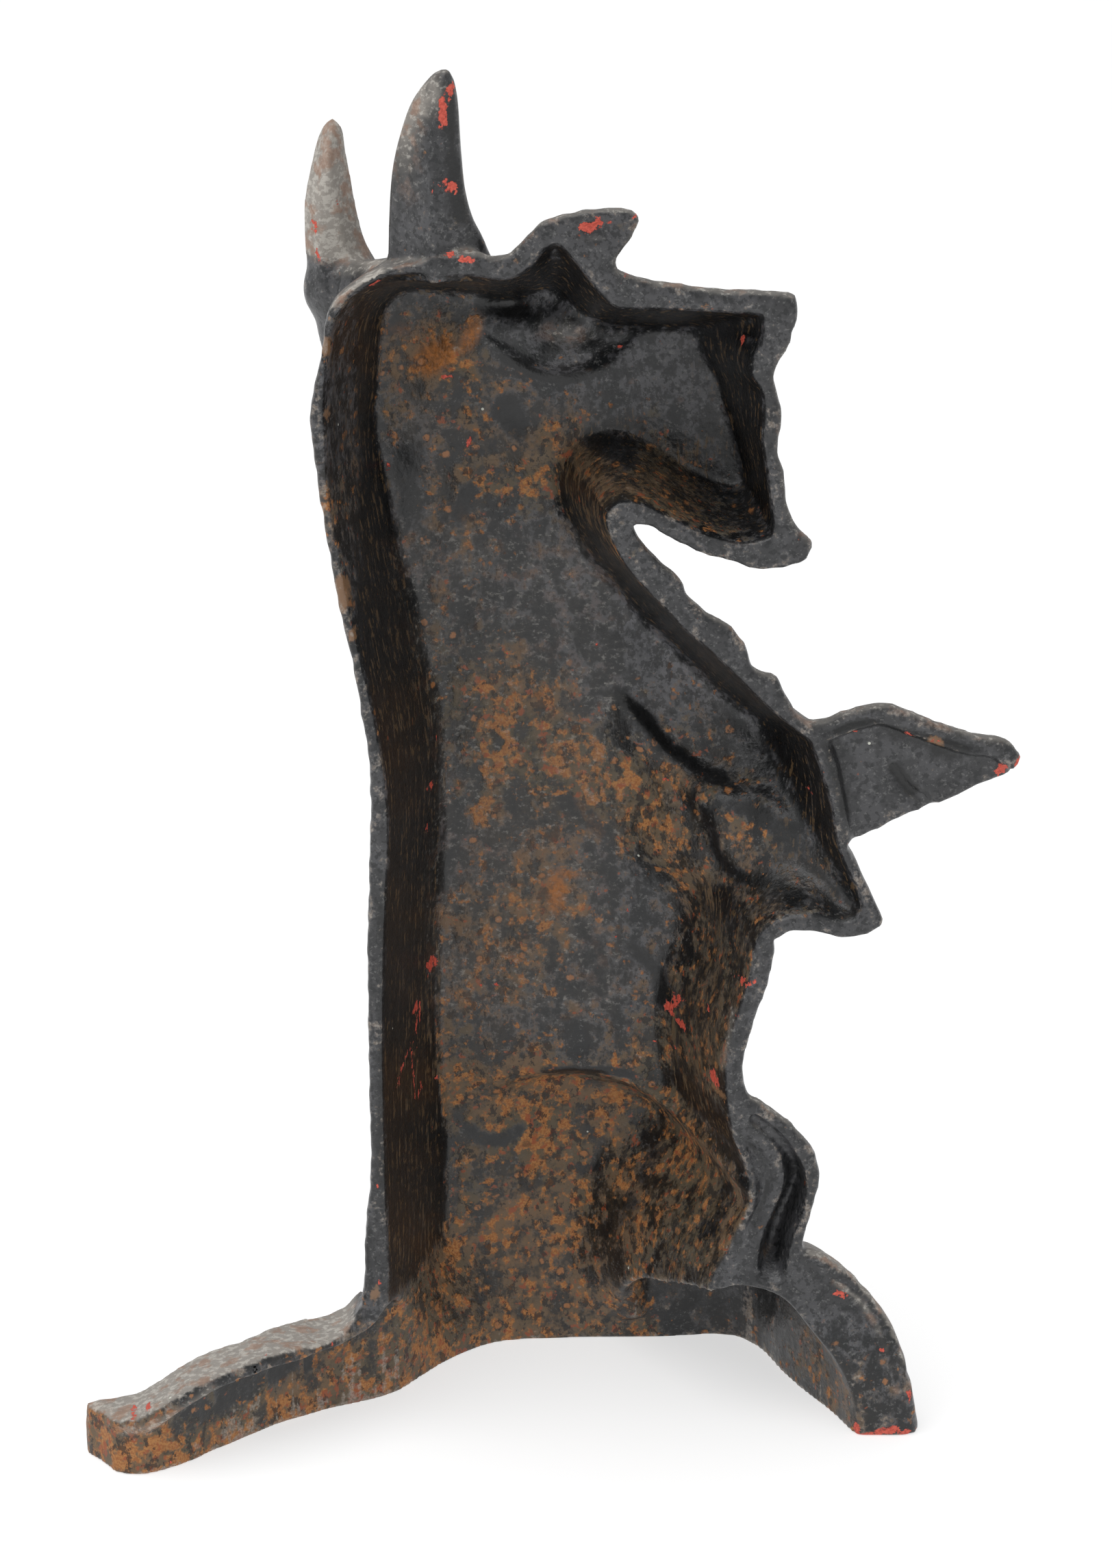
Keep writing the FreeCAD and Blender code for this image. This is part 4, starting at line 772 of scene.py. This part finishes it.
# ------------------------------------------------ worn enamel, with painted shade and highlights
class Value:
    """A shader value: arithmetic on it adds Math nodes."""

    def __init__(self, shader, socket):
        self.shader, self.socket = shader, socket

    def math(self, kind, *values):
        made = self.shader.node("Math", {"operation": kind}, dict(enumerate(values)))
        return Value(self.shader, made.outputs[0])

    def __add__(self, other):
        return self.math("ADD", self, other)

    def __sub__(self, other):
        return self.math("SUBTRACT", self, other)

    def __rsub__(self, other):
        return self.math("SUBTRACT", other, self)

    def __mul__(self, other):
        return self.math("MULTIPLY", self, other)

    __radd__, __rmul__ = __add__, __mul__

    def most(self, other):
        return self.math("MAXIMUM", self, other)

    def ramp(self, low, high):
        """0 at low and 1 at high, with a smooth passage."""
        made = self.shader.node("MapRange", {"interpolation_type": "SMOOTHSTEP"}, {0: self, 1: low, 2: high})
        return Value(self.shader, made.outputs[0])


class Shader:
    """A material whose colour is laid on in coats."""

    def __init__(self, name):
        self.material = bpy.data.materials.new(name)
        self.material.use_nodes = True
        self.tree = self.material.node_tree
        self.bsdf = self.tree.nodes["Principled BSDF"]

    def node(self, kind, settings, inputs):
        made = self.tree.nodes.new("ShaderNode" + kind)
        for key, value in settings.items():
            setattr(made, key, value)
        for key, value in inputs.items():
            self.feed(made.inputs[key], value)
        return made

    def feed(self, socket, value):
        if isinstance(value, Value):
            self.tree.links.new(value.socket, socket)
        elif hasattr(value, "is_linked"):
            self.tree.links.new(value, socket)
        else:
            socket.default_value = value

    def attribute(self, name):
        """One of the wear and painted-light values that the mesh carries."""
        return Value(self, self.node("Attribute", {"attribute_name": "wear_and_painted_light_" + name}, {}).outputs["Fac"])

    def place(self, sx=1.0, sy=1.0, sz=1.0):
        """Place on the casting in millimetres, stretched."""
        coordinates = self.node("TexCoord", {}, {}).outputs["Object"]
        scale = (sx / MM, sy / MM, sz / MM)
        return self.node("VectorMath", {"operation": "MULTIPLY"}, {0: coordinates, 1: scale}).outputs[0]

    def noise(self, place, size, detail=3.0, rough=0.55):
        """Noise whose lumps are about size millimetres across, from about 0.25 to 0.75."""
        inputs = {"Vector": place, "Scale": 1.0 / size, "Detail": detail, "Roughness": rough}
        return Value(self, self.node("TexNoise", {}, inputs).outputs[0])

    def cells(self, place, density):
        """Cells around scattered points: distance from the point, and a chance value of the cell."""
        made = self.node("TexVoronoi", {}, {"Vector": place, "Scale": density})
        chance = self.node("SeparateColor", {}, {0: made.outputs["Color"]}).outputs[0]
        return Value(self, made.outputs["Distance"]), Value(self, chance)

    def mix(self, factor, a, b):
        """Colour a where factor is 0 and colour b where it is 1."""
        a, b = (colour + (1,) if isinstance(colour, tuple) else colour for colour in (a, b))
        return self.node("Mix", {"data_type": "RGBA"}, {0: factor, 6: a, 7: b}).outputs[2]

    def coat(self, factor, colour):
        """Lays a colour over the coats below, as thick as factor says."""
        self.colour = self.mix(factor, self.colour, colour)


enamel = Shader("worn enamel")
spot, streaky = enamel.place(), enamel.place(1.0, 1.0, 0.16)
rust, wall, dust_and_highlight, hot, rim = (enamel.attribute(name) for name in ("rust", "wall", "dust_and_highlight", "hot", "rim"))
chip, stain, edge, shade_and_black_paint = (enamel.attribute(name) for name in ("chip", "stain", "edge", "shade_and_black_paint"))
lumps = enamel.noise(spot, 5.0, 3.0)
grain = enamel.noise(spot, 1.6, 4.0, 0.6)
fine = enamel.noise(spot, 0.6, 2.0)
clouds = enamel.noise(enamel.place(0.8, 1.0, 0.8), 22.0, 3.0)
smudge = enamel.noise(enamel.place(1.3, 1.0, 0.7), 9.0, 4.0, 0.65)
strokes = enamel.noise(streaky, 1.4, 3.0, 0.6)
brushed = enamel.noise(enamel.place(0.8, 1.0, 1.1), 1.5, 4.0, 0.65)

# painted shade on the hollow's steep walls, broken up by smudges and strokes
wall = (wall + (smudge - 0.5) * 1.3 + (strokes - 0.5) * 0.9).ramp(0.22, 0.72) * wall.ramp(0.02, 0.2)

# enamel: slate with darker mottles and bluish smudges, which are partly a painted sheen; painted shade makes
# it black and streaked on the steep walls
enamel.colour = enamel.mix((lumps * 0.5 + smudge * 0.5).ramp(0.45, 0.53), (0.007, 0.008, 0.009),
                           (0.070, 0.070, 0.075))
# bluish-grey smudges: partly the enamel's own tone, partly a painted sheen of the glossy enamel
enamel.coat(clouds.ramp(0.50, 0.70) * smudge.ramp(0.45, 0.60) * 0.75, (0.135, 0.136, 0.150))
enamel.coat(rim * 0.65, (0.036, 0.036, 0.038))
# painted shade: near black over the steep walls
enamel.coat(wall * (strokes.ramp(0.66, 0.50) * 0.4 + 0.6), (0.0022, 0.0022, 0.0025))
enamel.coat(grain.ramp(0.49, 0.42) * 0.75, (0.006, 0.007, 0.008))
enamel.coat((brushed * 0.6 + fine * 0.4).ramp(0.54, 0.64) * (1.0 - wall) * 0.5, (0.16, 0.158, 0.155))
# near-black lines and patches: painted shade in creases, grooves, the socket and under ledges, and black
# paint
shade_and_black_paint = shade_and_black_paint + ((smudge - 0.5) * 1.3 + (grain - 0.5) * 0.8) * shade_and_black_paint.ramp(0.0, 0.3)
enamel.coat(shade_and_black_paint.ramp(0.32, 0.68) * 0.92, (0.0035, 0.0038, 0.004))
rust = rust * (1.0 - shade_and_black_paint.ramp(0.25, 0.75) * 0.7)

# rust: a brown film, then patches of olive and orange grains with redder cores
film = (rust + (clouds - 0.5) * 1.1 + (smudge - 0.5) * 0.8).ramp(0.25, 1.05) * (1.0 - wall * 0.95) * 0.8
enamel.coat(film, (0.062, 0.042, 0.023))
amount = (rust - wall * 0.30) * 0.30
mottle = (smudge * 0.35 + lumps * 0.40 + grain * 0.25) * (1.0 - wall)
mottle = mottle + (strokes * 0.7 + smudge * 0.3) * wall
patches = (mottle + amount).ramp(0.615, 0.720)
olive = enamel.mix(clouds.ramp(0.4, 0.6), (0.100, 0.076, 0.042), (0.170, 0.102, 0.050))
enamel.coat(patches * 0.75, olive)
grains = enamel.noise(spot, 3.0, 3.0, 0.6) * 0.6 + smudge * 0.4 + amount * 0.80
grains = grains.ramp(0.655, 0.735) * (1.0 - wall * 0.75)
orange = enamel.mix(fine.ramp(0.4, 0.6), (0.30, 0.105, 0.026), (0.42, 0.185, 0.055))
enamel.coat(grains * 0.85, orange)
cores = enamel.noise(enamel.place(1.0, 1.3, 1.0), 2.4, 2.0) * 0.7 + lumps * 0.3 + amount * 0.6
enamel.coat(cores.ramp(0.695, 0.755) * 0.8, (0.26, 0.062, 0.022))
glow = (hot * (0.6 + smudge) * 1.1).ramp(0.28, 0.95)
enamel.coat(glow * 0.85, enamel.mix(grain.ramp(0.4, 0.6), (0.20, 0.072, 0.012), (0.37, 0.125, 0.020)))
# blisters: a dark ring with an orange middle, in some of the cells
near, few = enamel.cells(enamel.place(1.0, 0.6, 1.0), 0.17)
near = near + (grain - 0.5) * 0.35
few = few.ramp(0.45, 0.50) * rust.ramp(0.15, 0.4) * (1.0 - wall)
enamel.coat(near.ramp(0.30, 0.20) * few * 0.55, (0.016, 0.013, 0.010))
enamel.coat(near.ramp(0.19, 0.11) * few * 0.85, (0.33, 0.135, 0.045))
specks = (strokes * 0.55 + grain * 0.45 + rust * 0.05).ramp(0.55, 0.61) * wall * (1.0 - rim)
enamel.coat(specks * 0.85, (0.10, 0.062, 0.030))
# black mottles over paint and rust alike, but not on the rim or where the rust glows
black = enamel.noise(enamel.place(1.0, 1.0, 0.75), 3.2, 4.0, 0.7).ramp(0.535, 0.585)
enamel.coat(black * (1.0 - rim) * (1.0 - hot) * 0.76, (0.0075, 0.0075, 0.008))
enamel.coat((stain + (grain - 0.5) * 2.2).ramp(-0.25, 0.35) * 0.8, (0.22, 0.12, 0.06))

# dust and painted highlights; bare, rubbed edges that also give painted highlights on rounded edges
# bare, rubbed edges on convex forms, which also stand in for painted highlights along rounded rims
rubbed_and_lit_edges = (edge + (grain - 0.5) * 2.4 + (lumps - 0.5) * 2.0).ramp(0.52, 1.0) * (1.0 - wall)
enamel.coat(rubbed_and_lit_edges * 0.6, enamel.mix(fine.ramp(0.42, 0.58), (0.20, 0.16, 0.125), (0.34, 0.30, 0.26)))
# dust on tops and ledges, and the painted highlights, laid on as one pale coat
dust_and_highlight_cover = (dust_and_highlight * 1.1 + (brushed - 0.5) * 0.45 + (smudge - 0.5) * 0.55).ramp(0.02, 1.0) * dust_and_highlight.ramp(0.02, 0.25)
pale = enamel.mix(dust_and_highlight.ramp(0.25, 0.9), (0.105, 0.098, 0.088), (0.30, 0.275, 0.245))
pale = enamel.mix((brushed + dust_and_highlight * 0.12).ramp(0.58, 0.70) * 0.7, pale, (0.52, 0.49, 0.44))
pale = enamel.mix(lumps.ramp(0.50, 0.64) * 0.6, pale, (0.27, 0.135, 0.075))
enamel.coat(dust_and_highlight_cover * 0.9, pale)

# chips down to the primer, and a few flecks of lint
bare = (chip + (grain - 0.5) * 2.6 + (fine - 0.5) * 0.6).ramp(-0.10, 0.14)
enamel.coat(bare, enamel.mix(fine.ramp(0.35, 0.65), (0.42, 0.052, 0.030), (0.60, 0.095, 0.060)))
near, chosen = enamel.cells(spot, 0.085)
enamel.coat(near.ramp(0.036, 0.024) * chosen.ramp(0.60, 0.62) * 0.9, (0.62, 0.63, 0.55))
enamel.feed(enamel.bsdf.inputs["Base Color"], enamel.colour)

dull = (patches * 0.30).most(grains * 0.38).most(dust_and_highlight_cover * 0.4).most(bare * 0.25).most(film * 0.2)
dull = dull + 0.34 + (smudge - 0.5) * 0.25 + (fine - 0.5) * 0.15
enamel.feed(enamel.bsdf.inputs["Roughness"], dull)
height = strokes * 0.25 + lumps * 0.9 + grain * 0.45 + patches * 0.35 + grains * 0.25
height = height - bare * 0.6 + dust_and_highlight_cover * 0.15
relief = enamel.node("Bump", {}, {"Strength": 0.55, "Distance": 0.0006, "Height": height})
enamel.feed(enamel.bsdf.inputs["Normal"], relief.outputs[0])
mesh.materials.clear()
mesh.materials.append(enamel.material)
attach(casting, "root")
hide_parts(*[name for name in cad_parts])


# ------------------------------------------------ the room, the lamps and the camera
def sheet(name, corners, material):
    """A flat sheet that belongs to the room."""
    made = bpy.data.meshes.new(name)
    made.from_pydata(corners, [], [tuple(range(len(corners)))])
    made.materials.append(material)
    obj = bpy.data.objects.new(name, made)
    bpy.context.scene.collection.objects.link(obj)


paper = bpy.data.materials.new("white paper")
paper.use_nodes = True
paper_skin = paper.node_tree.nodes["Principled BSDF"]
paper_skin.inputs["Base Color"].default_value = (0.5, 0.5, 0.5, 1)
paper_skin.inputs["Roughness"].default_value = 0.9
paper_skin.inputs["Specular IOR Level"].default_value = 0.0
paper_skin.inputs["Emission Color"].default_value = (1, 1, 1, 1)
paper_skin.inputs["Emission Strength"].default_value = 0.6
sheet("paper_floor", [(-3, -3, 0), (3, -3, 0), (3, 3, 0), (-3, 3, 0)], paper)
world = bpy.data.worlds.new("studio")
bpy.context.scene.world = world
world.use_nodes = True
nodes, links = world.node_tree.nodes, world.node_tree.links
nodes["Background"].inputs[0].default_value = (1, 1, 1, 1)
# the room is white to look at and a little dimmer as a lamp
room = nodes.new("ShaderNodeMath")
room.operation = "MULTIPLY_ADD"
links.new(nodes.new("ShaderNodeLightPath").outputs["Is Camera Ray"], room.inputs[0])
room.inputs[1].default_value = 1 - ROOM_LIGHT
room.inputs[2].default_value = ROOM_LIGHT
links.new(room.outputs[0], nodes["Background"].inputs[1])
lamp = bpy.data.lights.new("softbox", "AREA")
lamp.shape, lamp.size, lamp.size_y, lamp.energy = "RECTANGLE", 1.4, 1.0, 10.0
softbox = bpy.data.objects.new("softbox", lamp)
bpy.context.scene.collection.objects.link(softbox)
softbox.location = (origin_x - 0.55, rim_y - 0.25, 1.5)
aim = Vector((origin_x, rim_y, 0.2)) - softbox.location
softbox.rotation_euler = aim.to_track_quat("-Z", "Y").to_euler()

camera = bpy.data.cameras.new("camera")
camera.sensor_width = 36.0
camera.lens = CAMERA_LENS
viewer = bpy.data.objects.new("camera", camera)
bpy.context.scene.collection.objects.link(viewer)
viewer.location = (origin_x, rim_y - CAMERA_AWAY, CAMERA_UP)
viewer.rotation_euler = (math.radians(90 - CAMERA_DOWN), 0, 0)
bpy.context.scene.camera = viewer
bpy.context.scene.view_settings.view_transform = "Standard"
